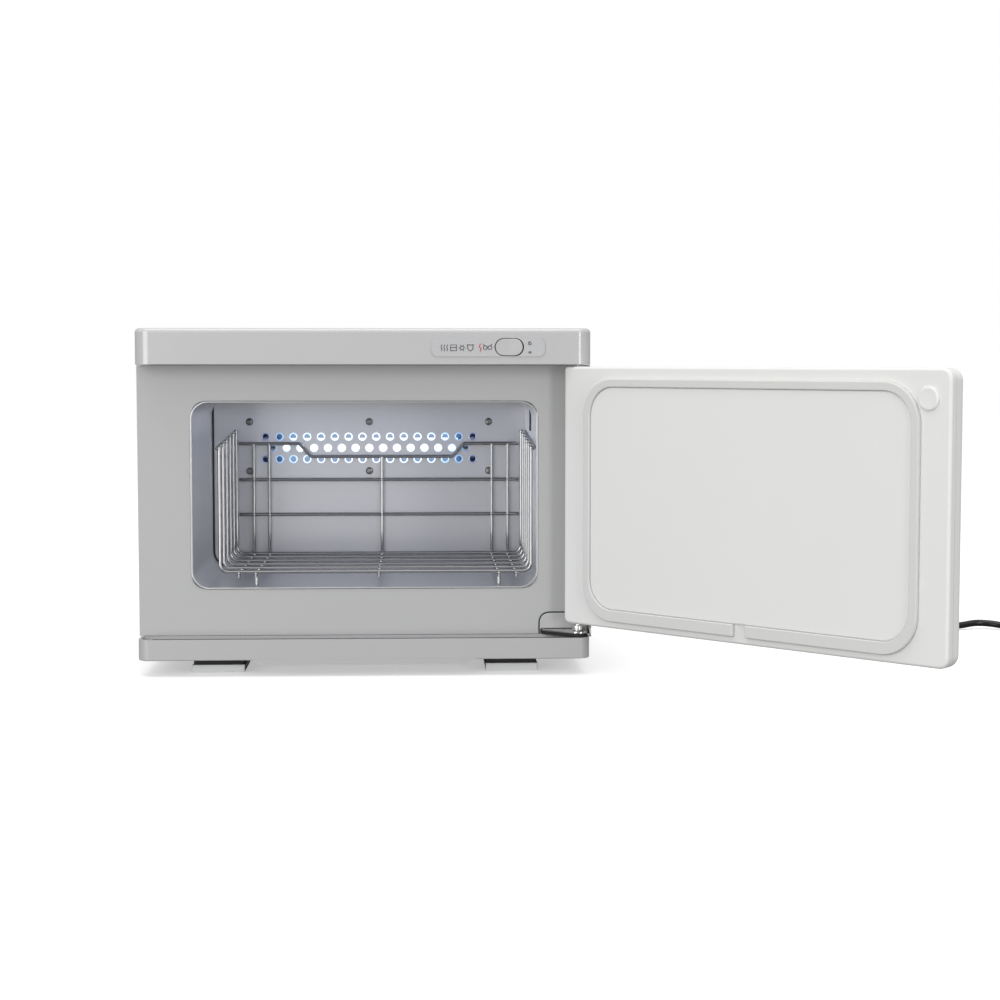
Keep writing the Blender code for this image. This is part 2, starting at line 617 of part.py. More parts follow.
def build_upper_hinge():
    low = COVER_BOTTOM + COVER_WALL + GAP
    leaf = corner_leaf("upper_hinge_leaf", low, low + 1.6 * MM, FRONT - 0.8 * MM, 5.5 * MM, STEEL)
    boolean(leaf, cylinder("upper_hinge_leaf_hole", (HINGE_X, HINGE_Y, low - 0.01),
                           (HINGE_X, HINGE_Y, low + 0.01), PIN_RADIUS + GAP, cutter=True))
    pin = cylinder("upper_hinge_pin", (HINGE_X, HINGE_Y, DOOR_HIGH - 9 * MM),
                   (HINGE_X, HINGE_Y, low + 2 * MM), PIN_RADIUS, STEEL, sides=24)
    head = cylinder("upper_hinge_pin_head", (HINGE_X, HINGE_Y, low + 1.6 * MM + GAP),
                    (HINGE_X, HINGE_Y, low + 4.4 * MM), 4.4 * MM, sides=24, cutter=True)
    boolean(pin, head, "UNION")


# Door, modelled closed about its hinge axis and then turned open ----------------------------------


def door_axis():
    empty = bpy.data.objects.new("door_axis", None)
    PARTS.objects.link(empty)
    empty.location = (HINGE_X, HINGE_Y, 0)
    empty.rotation_euler = (0, 0, DOOR_OPEN)
    return empty


def pillow_half(low, high, split, keep_below):
    """Half of a fully rounded box, cut flat at y = split."""
    mesh = box_bmesh(low, high, radius=DOOR_RADIUS, segments=3)
    cut = bmesh.ops.bisect_plane(mesh, geom=mesh.verts[:] + mesh.edges[:] + mesh.faces[:],
                                 plane_co=(0, split, 0), plane_no=(0, 1, 0),
                                 clear_outer=keep_below, clear_inner=not keep_below)
    rim = [e for e in cut["geom_cut"] if isinstance(e, bmesh.types.BMEdge)]
    bmesh.ops.edgeloop_fill(mesh, edges=rim)
    return mesh


def build_door(axis):
    far, heel = -DOOR_LENGTH, DOOR_HEEL
    wall = 2.5 * MM
    outer = mesh_object("door_outer_panel",
                        pillow_half((far, DOOR_OUTER, DOOR_LOW), (heel, DOOR_OUTER + 40 * MM, DOOR_HIGH),
                                    DOOR_SPLIT - GAP, True), DOOR_WHITE)
    outer_hollow = box("door_outer_hollow", (far + wall, DOOR_OUTER + wall, DOOR_LOW + wall),
                       (-10 * MM, DOOR_SPLIT + 0.01, DOOR_HIGH - wall), cutter=True,
                       radius=5 * MM, segments=2)
    face = box_bmesh((far, DOOR_SPLIT, DOOR_LOW), (heel, DOOR_INNER, DOOR_HIGH),
                     radius=DOOR_RADIUS, segments=3, axis="Y")
    soften(face, 3 * MM, 2, lambda co: co.y > DOOR_INNER - 1e-5)
    inner = mesh_object("door_inner_panel", face, DOOR_WHITE)
    field = box("door_inner_field",
                (-SEAL_INNER[1] + GAP, DOOR_INNER - 1 * MM, SEAL_LOW + GAP),
                (-SEAL_INNER[0] - GAP, DOOR_INNER + FIELD_RISE, SEAL_HIGH - GAP), cutter=True,
                radius=SEAL_RADIUS, segments=4, axis="Y")
    boolean(inner, field, "UNION")
    inner_hollow = box("door_inner_hollow", (far + wall, DOOR_SPLIT - 0.01, DOOR_LOW + wall),
                       (-10 * MM, DOOR_INNER - wall, DOOR_HIGH - wall), cutter=True)
    boolean(inner, inner_hollow)
    core = box("door_insulation", (far + 4 * MM, DOOR_OUTER + 4 * MM, DOOR_LOW + 4 * MM),
               (-12 * MM, DOOR_INNER - 3.2 * MM, DOOR_HIGH - 4 * MM), FOAM, radius=5 * MM, segments=1)
    boolean(outer, outer_hollow)
    seal = box("door_gasket",
               (-SEAL_INNER[1] - SEAL_WIDTH, DOOR_INNER + GAP, SEAL_LOW - SEAL_FOOT),
               (-SEAL_INNER[0] + SEAL_WIDTH, SEAL_TOP, SEAL_HIGH + SEAL_WIDTH), SEAL,
               radius=SEAL_RADIUS + SEAL_WIDTH, segments=5, axis="Y")
    seal_hole = box("door_gasket_hole", (-SEAL_INNER[1], DOOR_INNER - 0.01, SEAL_LOW),
                    (-SEAL_INNER[0], SEAL_TOP + 0.01, SEAL_HIGH), cutter=True,
                    radius=SEAL_RADIUS, segments=5, axis="Y")
    boolean(seal, seal_hole)
    seal_ends = box("door_gasket_ends", (-SEAL_GAP[1], DOOR_INNER - 0.01, SEAL_LOW - 0.02),
                    (-SEAL_GAP[0], SEAL_TOP + 0.01, SEAL_LOW + 0.005), cutter=True)
    boolean(seal, seal_ends)
    magnet = cylinder("door_magnet", (-MAGNET_S, DOOR_INNER + GAP, MAGNET_Z),
                      (-MAGNET_S, DOOR_INNER + 2.6 * MM, MAGNET_Z), MAGNET_RADIUS, DOOR_WHITE,
                      end_radius=MAGNET_RADIUS - 0.8 * MM, sides=24)
    moved = [outer, outer_hollow, inner, field, inner_hollow, core, seal, seal_hole, seal_ends, magnet]
    for name, end, inward in (("lower", DOOR_LOW, 1), ("upper", DOOR_HIGH, -1)):
        well = cylinder(f"door_{name}_bush_well", (0, 0, end - inward * 0.01),
                        (0, 0, end + inward * 12.3 * MM), BUSH_RADIUS + GAP, sides=24, cutter=True)
        boolean(outer, well)
        boolean(inner, well)
        bush = cylinder(f"door_bush_{name}", (0, 0, end - inward * 1.0 * MM),
                        (0, 0, end + inward * 12 * MM), BUSH_RADIUS, BUSH_PLASTIC, sides=24)
        bore = cylinder(f"door_{name}_bush_bore", (0, 0, end - inward * 0.01),
                        (0, 0, end + inward * 10 * MM), BUSH_BORE, sides=24, cutter=True)
        boolean(bush, bore)
        moved += [well, bush, bore]
    for obj in moved:
        obj.parent = axis


# Basket -------------------------------------------------------------------------------------


def rail_height(y):
    share = (y - HOOP_Y[0]) / (HOOP_Y[-1] - HOOP_Y[0])
    return RAIL_FRONT + (RAIL_BACK - RAIL_FRONT) * share


def build_basket():
    bend = 6 * MM
    left_end, right_end = BASKET_LEFT + bend + 2 * MM, BASKET_RIGHT - bend - 2 * MM
    across = [[(left_end + GAP, y, BASKET_FLOOR), (right_end - GAP, y, BASKET_FLOOR)] for y in HOOP_Y]
    rod_end = HOOP_Y[-1] + 0.4 * MM
    along = [[(x, HOOP_Y[0] - 2.5 * MM, ROD_Z), (x, rod_end, ROD_Z)] for x in ROD_X]
    stubs = [[(x, y, TABLE + 67.0 * MM), (x, y, ROD_Z)]
             for x in (ROD_X[1], ROD_X[3]) for y in (HOOP_Y[0] + 6 * MM, HOOP_Y[-1] - 10 * MM)]
    welded_wires("basket_floor", across + along + stubs, CHROME)
    for name, x, sign, end in (("basket_left_side", BASKET_LEFT, 1, left_end),
                               ("basket_right_side", BASKET_RIGHT, -1, right_end)):
        corner = arc((x + sign * bend, BASKET_FLOOR + bend), bend, 180 if sign > 0 else 0,
                     270 if sign > 0 else -90, 3)
        legs = [[(x, y, rail_height(y) + 1 * MM), *[(a, y, b) for a, b in corner],
                 (end, y, BASKET_FLOOR)] for y in HOOP_Y]
        outside = x - sign * 1.9 * MM
        rail = [(outside, HOOP_Y[0] - 2.1 * MM, rail_height(HOOP_Y[0])),
                (outside, HOOP_Y[-1] + 1.2 * MM, rail_height(HOOP_Y[-1]))]
        welded_wires(name, [rail] + legs, CHROME)
    low, high = TABLE + 161.2 * MM, TABLE + 172.3 * MM
    left, right = BASKET_LEFT + 2 * MM, BASKET_RIGHT - 2 * MM
    top = [(left, high), (-60 * MM, high), (-50 * MM, low), (71 * MM, low), (81 * MM, high), (right, high)]
    routes = [[(x, BASKET_BACK, z) for x, z in top]]
    for height in (141.4 * MM, 111.5 * MM):
        routes.append([(left, BASKET_BACK, TABLE + height), (right, BASKET_BACK, TABLE + height)])
    for x in ROD_X:
        reach = low if x == ROD_X[2] else high
        routes.append([(x, BASKET_BACK, BASKET_FLOOR + WIRE + GAP), (x, BASKET_BACK, reach)])
    welded_wires("basket_back", routes, CHROME)


# Power cord ---------------------------------------------------------------------------------


def build_cord():
    x, y, z = INLET
    relief = cylinder("strain_relief", (x, y + GAP, z), (x, y + RELIEF_LENGTH, z), 6.2 * MM, BLACK,
                      end_radius=3.9 * MM)
    neck = cylinder("strain_relief_neck", (x, y - 6 * MM, z), (x, y + 1 * MM, z), 5.9 * MM, cutter=True)
    boolean(relief, neck, "UNION")
    wire_curve("power_cord", smooth_route(from_table(CORD_ROUTE), 0.0125), CORD_RADIUS, BLACK)
    cx, cy = COIL_CENTRE
    low = TABLE + 0.1 * MM
    coil = cylinder("cord_coil", (cx, cy, low), (cx, cy, low + COIL_HEIGHT),
                    COIL_RADIUS + COIL_HALF_WIDTH, BLACK, sides=32)
    boolean(coil, cylinder("cord_coil_hole", (cx, cy, low - 0.01), (cx, cy, low + 0.05),
                           COIL_RADIUS - COIL_HALF_WIDTH, sides=32, cutter=True))
    px, py = PLUG_START
    pz = TABLE + 8.2 * MM
    plug = box_bmesh((px - 13 * MM, py, pz - 8 * MM), (px + 13 * MM, py + PLUG_LENGTH, pz + 8 * MM),
                     radius=5 * MM, segments=3)
    for vertex in plug.verts:
        share = min(max((vertex.co.y - py) / (0.6 * PLUG_LENGTH), 0.0), 1.0)
        width = 0.42 + 0.58 * share
        vertex.co.x = px + (vertex.co.x - px) * width
        vertex.co.z = TABLE + 0.2 * MM + (vertex.co.z - TABLE - 0.2 * MM) * (0.5 + 0.5 * share)
    mesh_object("plug_body", plug, BLACK)
    for name, side in (("plug_pin_left", -1), ("plug_pin_right", 1)):
        x = px + side * 9.5 * MM
        start = py + PLUG_LENGTH + GAP
        cylinder(name, (x, start, pz), (x, start + 19 * MM, pz), 2.4 * MM, CHROME, sides=12)


clear_scene()
PARTS = new_collection("uv_sterilizer_cabinet")
CUTTERS = new_collection("cutters")
PAINT = material("painted steel", (0.72, 0.72, 0.72), 0.45)
COVER_WHITE = material("cover plastic", (0.78, 0.78, 0.79), 0.35)
BASE_WHITE = material("base plastic", (0.72, 0.72, 0.73), 0.4)
DOOR_WHITE = material("door plastic", (0.86, 0.86, 0.85), 0.38)
SEAL = material("gasket rubber", (0.80, 0.80, 0.79), 0.5)
OVERLAY = material("overlay film", (0.74, 0.75, 0.76), 0.3)
ROCKER_WHITE = material("rocker plastic", (0.82, 0.82, 0.82), 0.3)
ALUMINIUM = material("polished aluminium", (0.70, 0.71, 0.73), 0.2, 1.0)
REFLECTOR = material("reflector steel", (0.75, 0.76, 0.78), 0.25, 1.0)
CHROME = material("chrome wire", (0.80, 0.80, 0.80), 0.1, 1.0)
STEEL = material("zinc plated steel", (0.62, 0.62, 0.62), 0.3, 1.0)
LAMP_GLASS = material("lamp glass", (0.75, 0.85, 1.0), 0.1)
LAMP_HOLDER = material("lamp holder plastic", (0.85, 0.85, 0.82), 0.5)
BUSH_PLASTIC = material("bush plastic", (0.75, 0.75, 0.74), 0.4)
BLACK = material("black plastic", (0.02, 0.02, 0.02), 0.3)
RUBBER = material("foot rubber", (0.02, 0.02, 0.02), 0.7)
SHOE = material("foot shoe plastic", (0.70, 0.71, 0.72), 0.4)
FOAM = material("insulation foam", (0.80, 0.76, 0.60), 0.9)
HEATER = material("heater silicone", (0.55, 0.20, 0.10), 0.7)
build_front_frame()
build_outer_case()
build_back_panel()
build_top_cover()
build_control_overlay()
build_switch()
build_liner()
build_liner_back()
build_lamp_screws()
build_lamp_housing()
build_lamp()
build_insulation()
build_electrics()
build_base()
build_bottom_cover()
build_drip_tray()
build_feet()
build_lower_hinge()
build_upper_hinge()
build_door(door_axis())
build_basket()
build_cord()
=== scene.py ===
"""Looks of a UV sterilizer cabinet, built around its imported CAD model.

Metres, +Z up, the front of the cabinet towards -Y. Places in the functions below are read from the
CAD nodes' boxes, or given in millimetres from the middle, the front face and the table by at().
"""

import json
import math

import bmesh
import bpy
from mathutils import Matrix, Vector


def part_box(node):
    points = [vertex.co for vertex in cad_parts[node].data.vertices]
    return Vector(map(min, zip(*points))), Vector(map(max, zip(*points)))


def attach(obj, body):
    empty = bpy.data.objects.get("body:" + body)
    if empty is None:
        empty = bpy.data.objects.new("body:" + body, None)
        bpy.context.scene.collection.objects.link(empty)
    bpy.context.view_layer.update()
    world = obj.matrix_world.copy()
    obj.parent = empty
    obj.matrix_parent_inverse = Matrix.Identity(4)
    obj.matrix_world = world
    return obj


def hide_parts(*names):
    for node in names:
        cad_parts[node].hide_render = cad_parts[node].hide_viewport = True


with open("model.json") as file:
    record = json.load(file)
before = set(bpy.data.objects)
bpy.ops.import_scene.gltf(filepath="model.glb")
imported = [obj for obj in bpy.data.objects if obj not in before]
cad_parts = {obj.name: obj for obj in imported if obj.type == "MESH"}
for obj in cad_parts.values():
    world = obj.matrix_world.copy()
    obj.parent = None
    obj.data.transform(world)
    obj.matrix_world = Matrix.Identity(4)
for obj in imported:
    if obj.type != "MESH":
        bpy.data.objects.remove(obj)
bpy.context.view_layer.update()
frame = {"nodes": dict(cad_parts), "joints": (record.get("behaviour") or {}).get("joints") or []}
MM = 0.001
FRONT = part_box("front_frame")[0].y
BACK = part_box("back_panel")[1].y
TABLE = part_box("foot_shoe_front_left")[0].z
VENT_PITCH = 12
HINGE = Vector(next(j["pos_m"] for j in frame["joints"] if j["name"] == "door_hinge"))
ROCKER = Vector(next(j["pos_m"] for j in frame["joints"] if j["name"] == "rocker_tilt"))
DOOR_OPEN = math.radians(133.2)
ROCKER_TILT = math.radians(-6.0)
WORLD = Matrix.Identity(4)
DOOR = Matrix.Translation((HINGE.x, HINGE.y, 0)) @ Matrix.Rotation(DOOR_OPEN, 4, "Z")


def at(x, y, z):
    """A point in millimetres from the middle, the front face and the table."""
    return Vector((x * MM, FRONT + y * MM, TABLE + z * MM))


def middle_of(node):
    low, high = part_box(node)
    return (low + high) / 2


# Camera and cord


def build_camera():
    data = bpy.data.cameras.new("camera")
    data.sensor_width = 36.0
    data.lens = 72.09
    data.clip_start = 0.05
    data.clip_end = 60.0
    camera = bpy.data.objects.new("camera", data)
    bpy.context.scene.collection.objects.link(camera)
    camera.location = at(40.2, -1564.2, 245.0)
    camera.rotation_euler = (math.radians(90.0 - 4.036), 0.0, math.radians(-2.40))
    bpy.context.scene.camera = camera


CORD_DIAMETER = 6.0 * MM
CORD_ROUTE = [
    (130.0, 259.4, 40.0), (130.1, 268.0, 39.6), (133.0, 280.0, 34.8), (142.0, 290.5, 24.0),
    (158.0, 297.0, 11.5), (178.0, 299.0, 4.6), (205.0, 296.0, 3.1), (250.0, 284.0, 3.1),
    (300.0, 267.0, 3.1), (350.0, 249.0, 3.1), (400.0, 232.0, 3.1), (450.0, 219.0, 3.1),
    (490.0, 213.5, 3.1), (516.0, 215.5, 3.1), (534.0, 222.0, 3.7), (548.0, 227.0, 5.0),
    (560.5, 225.9, 4.7), (571.2, 219.5, 3.6), (578.5, 208.4, 3.1), (583.0, 195.5, 3.1),
    (585.0, 183.5, 3.1), (585.0, 172.0, 3.1), (585.0, 161.0, 3.1),
]


def ease(low, high, value):
    share = min(max((value - low) / (high - low), 0.0), 1.0)
    return share * share * (3.0 - 2.0 * share)


COIL_STEPS = 26      # points for each turn
COIL_TURNS = 3.42


def coil_points():
    """The spare cord: an outer and an inner turn on the table, then an inner and an outer one on them."""
    low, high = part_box("cord_coil")
    centre = (low + high) / 2
    outer = (high.x - low.x) / 2 - 3.0 * MM
    pitch, bottom = 6.1 * MM, TABLE + 3.1 * MM
    points = []
    for i in range(1, int(COIL_TURNS * COIL_STEPS)):
        turn = i / COIL_STEPS
        radius = outer - pitch * (ease(0.55, 1.0, turn) - ease(2.0, 2.4, turn) - ease(2.95, 3.35, turn))
        height = bottom + pitch * (ease(1.2, 1.6, turn) - ease(3.0, COIL_TURNS, turn) * 0.3)
        angle = math.pi + turn * math.tau
        points.append(Vector((centre.x + radius * math.cos(angle), centre.y + radius * math.sin(angle),
            height)))
    return points


def lead_to_plug(points, x, y, z):
    """From the end of the coil to the plug: one bend, then straight on."""
    last = points[-1]
    step = last - points[-2]
    start = math.atan2(step.y, step.x) + math.pi / COIL_STEPS
    radius = (x - last.x) / (1 - math.sin(start))
    path = []
    for i in range(1, 5):
        angle = start + (math.pi / 2 - start) * i / 4
        path.append(Vector((last.x + radius * (math.sin(angle) - math.sin(start)),
            last.y + radius * (math.cos(start) - math.cos(angle)), last.z)))
    for i in range(1, 4):
        share = i / 3
        path.append(Vector((x, path[3].y + (y - path[3].y) * share,
            last.z + (z - last.z) * ease(0, 1, share))))
    return path


def smooth_route(points, steps=6):
    """Points along the smooth curve through the given ones."""
    ends = [points[0] * 2 - points[1], *points, points[-1] * 2 - points[-2]]
    fine = []
    for a, b, c, d in zip(ends, ends[1:], ends[2:], ends[3:]):
        for i in range(steps):
            t = i / steps
            fine.append(0.5 * ((2 * b) + (c - a) * t + (2 * a - 5 * b + 4 * c - d) * t * t + (3 * b - a
                - 3 * c + d) * t ** 3))
    return fine + [points[-1]]


# Mesh helpers


def rounded_box(low, high, radius=0.0, segments=6, axis=None, keep=None):
    """A box, with the edges along one axis or all of them rounded, where keep allows."""
    low, high = Vector(low), Vector(high)
    mesh = bmesh.new()
    bmesh.ops.create_cube(mesh, size=1.0)
    bmesh.ops.scale(mesh, vec=high - low, verts=mesh.verts)
    bmesh.ops.translate(mesh, vec=(low + high) / 2, verts=mesh.verts)
    if radius:
        edges = []
        for edge in mesh.edges:
            along = (edge.verts[1].co - edge.verts[0].co).normalized()
            middle = (edge.verts[0].co + edge.verts[1].co) / 2
            if axis is not None and abs(along["XYZ".index(axis)]) < 0.9:
                continue
            if keep is None or keep(middle):
                edges.append(edge)
        bmesh.ops.bevel(mesh, geom=edges, offset=radius, segments=segments, profile=0.5, affect="EDGES",
            clamp_overlap=True)
    return mesh


def soften(mesh, radius, segments, chosen):
    """Rounds the sharp edges whose two ends both pass the test."""
    edges = [e for e in mesh.edges if all(chosen(v.co) for v in e.verts) and len(e.link_faces) == 2 and
        e.calc_face_angle() > 0.6]
    bmesh.ops.bevel(mesh, geom=edges, offset=radius, segments=segments, profile=0.5, affect="EDGES",
        clamp_overlap=True)


def cylinder(start, end, radius, sides=32):
    start, end = Vector(start), Vector(end)
    mesh = bmesh.new()
    bmesh.ops.create_cone(mesh, cap_ends=True, segments=sides, radius1=radius, radius2=radius,
        depth=(end - start).length)
    turn = Vector((0, 0, 1)).rotation_difference(end - start).to_matrix().to_4x4()
    bmesh.ops.transform(mesh, matrix=Matrix.Translation((start + end) / 2) @ turn, verts=mesh.verts)
    return mesh


def turned(start, end, profile, sides=32):
    """A solid turned about the line from start to end; the profile has (share of the way, radius)."""
    start, end = Vector(start), Vector(end)
    side = (end - start).orthogonal().normalized()
    up = (end - start).normalized().cross(side)
    mesh = bmesh.new()
    rings = []
    for share, radius in profile:
        middle = start.lerp(end, share)
        rings.append([mesh.verts.new(middle + side * radius * math.cos(math.tau * i / sides) + up *
            radius * math.sin(math.tau * i / sides)) for i in range(sides)])
    for a, b in zip(rings, rings[1:]):
        for i in range(sides):
            j = (i + 1) % sides
            mesh.faces.new((a[i], a[j], b[j], b[i]))
    mesh.faces.new(rings[0])
    mesh.faces.new(rings[-1])
    return mesh


def extruded(outline, start, end, axis):
    """A flat outline, given by two coordinates, drawn out from start to end along the third."""
    place = {"X": lambda a, b, c: (c, a, b), "Y": lambda a, b, c: (a, c, b), "Z": lambda a, b,
        c: (a, b, c)}[axis]
    mesh = bmesh.new()
    loops = [[mesh.verts.new(place(a, b, c)) for a, b in outline] for c in (start, end)]
    mesh.faces.new(loops[0])
    mesh.faces.new(loops[1])
    for i in range(len(outline)):
        j = (i + 1) % len(outline)
        mesh.faces.new((loops[0][i], loops[0][j], loops[1][j], loops[1][i]))
    return mesh


def arc(centre, radius, start, end, steps):
    """Points on an arc in a plane, the angles in degrees."""
    angles = [math.radians(start + (end - start) * i / steps) for i in range(steps + 1)]
    return [(centre[0] + radius * math.cos(a), centre[1] + radius * math.sin(a)) for a in angles]


def rounded_outline(points, radii, steps=6):
    """A closed outline with each corner rounded by its own radius."""
    outline = []
    for i, corner in enumerate(points):
        corner = Vector(corner)
        before = (Vector(points[i - 1]) - corner).normalized()
        after = (Vector(points[(i + 1) % len(points)]) - corner).normalized()
        if radii[i] <= 0:
            outline.append(tuple(corner))
            continue
        half = before.angle(after) / 2
        reach = radii[i] / math.tan(half)
        first, last = corner + before * reach, corner + after * reach
        for k in range(steps + 1):
            t = k / steps
            outline.append(tuple((1 - t) ** 2 * first + 2 * t * (1 - t) * corner + t * t * last))
    return outline


def merged(*meshes):
    """Several meshes as the islands of one."""
    whole = bmesh.new()
    for mesh in meshes:
        data = bpy.data.meshes.new("part")
        mesh.to_mesh(data)
        mesh.free()
        whole.from_mesh(data)
        bpy.data.meshes.remove(data)
    return whole


def link(name, data, finish=None):
    obj = bpy.data.objects.new(name, data)
    bpy.context.scene.collection.objects.link(obj)
    if finish:
        data.materials.append(finish)
    return obj


def mesh_object(name, mesh, finish=None, matrix=WORLD):
    data = bpy.data.meshes.new(name)
    bmesh.ops.recalc_face_normals(mesh, faces=mesh.faces)
    bmesh.ops.transform(mesh, matrix=matrix, verts=mesh.verts)
    mesh.to_mesh(data)
    mesh.free()
    return link(name, data, finish)


def bake(obj):
    """Leaves the modifiers' result as the mesh."""
    graph = bpy.context.evaluated_depsgraph_get()
    data = bpy.data.meshes.new_from_object(obj.evaluated_get(graph))
    data.name = obj.name
    obj.modifiers.clear()
    obj.data = data


def change(obj, mesh, operation="DIFFERENCE", matrix=WORLD):
    """Cuts the other mesh out of the object, or joins it on."""
    other = mesh_object(obj.name + "_tool", mesh, None, matrix)
    modifier = obj.modifiers.new("change", "BOOLEAN")
    modifier.operation = operation
    modifier.object = other
    modifier.solver = "EXACT"
    bake(obj)
    bpy.data.objects.remove(other, do_unlink=True)


def piece(name, mesh, finish, body="cabinet", stands_for=(), cuts=(), joins=(), edge=0.0, segments=2,
        smooth=32, matrix=WORLD):
    """One piece of the object, cut and joined, with its edges rounded and its surface shaded."""
    obj = mesh_object(name, mesh, finish, matrix)
    for other in joins:
        change(obj, other, "UNION", matrix)
    for other in cuts:
        change(obj, other, "DIFFERENCE", matrix)
    if edge:
        modifier = obj.modifiers.new("edges", "BEVEL")
        modifier.width = edge * MM
        modifier.segments = segments
        modifier.limit_method = "ANGLE"
        modifier.angle_limit = math.radians(35)
        bake(obj)
    obj.data.shade_smooth()
    obj.data.set_sharp_from_angle(angle=math.radians(smooth))
    modifier = obj.modifiers.new("shading", "WEIGHTED_NORMAL")
    modifier.keep_sharp = True
    bake(obj)
    return settle(obj, body, stands_for)


def settle(obj, body, stands_for):
    """Says what the piece rides on and stands for."""
    if stands_for:
        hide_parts(*([stands_for] if isinstance(stands_for, str) else stands_for))
    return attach(obj, body)


def wires(name, routes, radius, finish, body="cabinet", stands_for=(), closed=False, resolution=4):
    """Round wires along their routes, as one curve object."""
    curve = bpy.data.curves.new(name, "CURVE")
    curve.dimensions = "3D"
    curve.bevel_depth = radius
    curve.bevel_resolution = resolution
    curve.use_fill_caps = True
    for route in routes:
        spline = curve.splines.new("POLY")
        spline.points.add(len(route) - 1)
        spline.use_cyclic_u = closed
        for point, place in zip(spline.points, route):
            point.co = (*place, 1.0)
    obj = link(name, curve, finish)
    settle(obj, body, stands_for)
    return obj


# Materials


def add_node(tree, kind, **values):
    """A new shader node, its inputs set by name."""
    node = tree.nodes.new("ShaderNode" + kind)
    for name, value in values.items():
        node.inputs[name.replace("_", " ")].default_value = value
    return node


def surface(name, colour, roughness, metallic=0.0, mottle=0.03, patch=18.0, wear=0.05, grain=900.0,
        bump=0.05, stretch=(1.0, 1.0, 1.0), coat=0.0, specular=0.5):
    """A material with a little variation of colour and gloss, and a fine relief."""
    made = bpy.data.materials.new(name)
    made.use_nodes = True
    tree = made.node_tree
    join = tree.links.new
    inputs = tree.nodes["Principled BSDF"].inputs
    inputs["Metallic"].default_value = metallic
    inputs["Specular IOR Level"].default_value = specular
    inputs["Coat Weight"].default_value = coat
    inputs["Coat Roughness"].default_value = 0.12
    mapping = add_node(tree, "Mapping", Scale=stretch)
    join(add_node(tree, "TexCoord").outputs["Object"], mapping.inputs["Vector"])

    def noise(scale, detail, target):
        cloud = add_node(tree, "TexNoise", Scale=scale, Detail=detail)
        join(mapping.outputs["Vector"], cloud.inputs["Vector"])
        join(cloud.outputs["Fac"], target)

    mix = add_node(tree, "Mix")
    mix.data_type = "RGBA"
    mix.inputs["A"].default_value = (*[min(c * (1 - mottle), 1) for c in colour], 1)
    mix.inputs["B"].default_value = (*[min(c * (1 + mottle), 1) for c in colour], 1)
    noise(patch, 4.0, mix.inputs["Factor"])
    join(mix.outputs["Result"], inputs["Base Color"])
    gloss = add_node(tree, "MapRange", From_Min=0.3, From_Max=0.7, To_Min=max(roughness - wear, 0.02),
        To_Max=roughness + wear)
    noise(patch * 3.0, 6.0, gloss.inputs["Value"])
    join(gloss.outputs["Result"], inputs["Roughness"])
    relief = add_node(tree, "Bump", Strength=bump, Distance=0.0004)
    noise(grain, 3.0, relief.inputs["Height"])
    join(relief.outputs["Normal"], inputs["Normal"])
    return made


def glow_along_x(made, stops, strength, half):
    """Makes a material glow, its colour changing from the middle of the lamp to its ends; on the lamp's
    glass this is its own light, on the reflector and the hole rims it is painted lamp light.
    """
    tree = made.node_tree
    join = tree.links.new
    inputs = tree.nodes["Principled BSDF"].inputs
    split = add_node(tree, "SeparateXYZ")
    size = add_node(tree, "Math")
    size.operation = "ABSOLUTE"
    reach = add_node(tree, "Math")
    reach.operation = "DIVIDE"
    reach.inputs[1].default_value = half
    ramp = add_node(tree, "ValToRGB")
    while len(ramp.color_ramp.elements) < len(stops):
        ramp.color_ramp.elements.new(0.5)
    for element, (place, colour) in zip(ramp.color_ramp.elements, stops):
        element.position = place
        element.color = (*colour, 1)
    join(add_node(tree, "TexCoord").outputs["Object"], split.inputs["Vector"])
    join(split.outputs["X"], size.inputs[0])
    join(size.outputs["Value"], reach.inputs[0])
    join(reach.outputs["Value"], ramp.inputs["Fac"])
    join(ramp.outputs["Color"], inputs["Emission Color"])
    inputs["Emission Strength"].default_value = strength


# Painted shade: the frame, case, cover, tray and base are the same off-white as the door, but their
# colours are set darker to stand for the shade on the body's front.
SHADED_PAINT = surface("painted_steel", (0.438, 0.439, 0.442), 0.42, mottle=0.012, grain=700.0, bump=0.06)
SHADED_COVER = surface("cover_plastic", (0.50, 0.50, 0.505), 0.24, mottle=0.008, wear=0.01, grain=1500.0,
    bump=0.006, coat=1.0)
SHADED_TRAY = surface("tray_plastic", (0.438, 0.438, 0.443), 0.36, mottle=0.012, grain=1400.0, bump=0.03,
    coat=0.1)
SHADED_BASE = surface("base_plastic", (0.438, 0.438, 0.443), 0.42, mottle=0.015, grain=1200.0, bump=0.06)
DOOR_WHITE = surface("door_plastic", (0.76, 0.766, 0.745), 0.36, mottle=0.01, grain=1400.0, bump=0.03)
GASKET = surface("gasket_silicone", (0.64, 0.645, 0.63), 0.55, mottle=0.03, grain=1000.0, bump=0.08,
    specular=0.35)
# Painted shade: the overlay's and the rocker's off-white is also set darker for the shade on the body's
# front.
SHADED_OVERLAY = surface("overlay_film", (0.49, 0.492, 0.50), 0.30, mottle=0.012, grain=2600.0, bump=0.05)
SHADED_ROCKER = surface("rocker_plastic", (0.475, 0.475, 0.48), 0.28, mottle=0.01, bump=0.02, coat=0.2)
ALUMINIUM = surface("chamber_aluminium", (0.625, 0.635, 0.647), 0.3, 0.75, mottle=0.015, patch=9.0,
    wear=0.01, grain=90.0, bump=0.0012, stretch=(0.5, 1.0, 3.0))
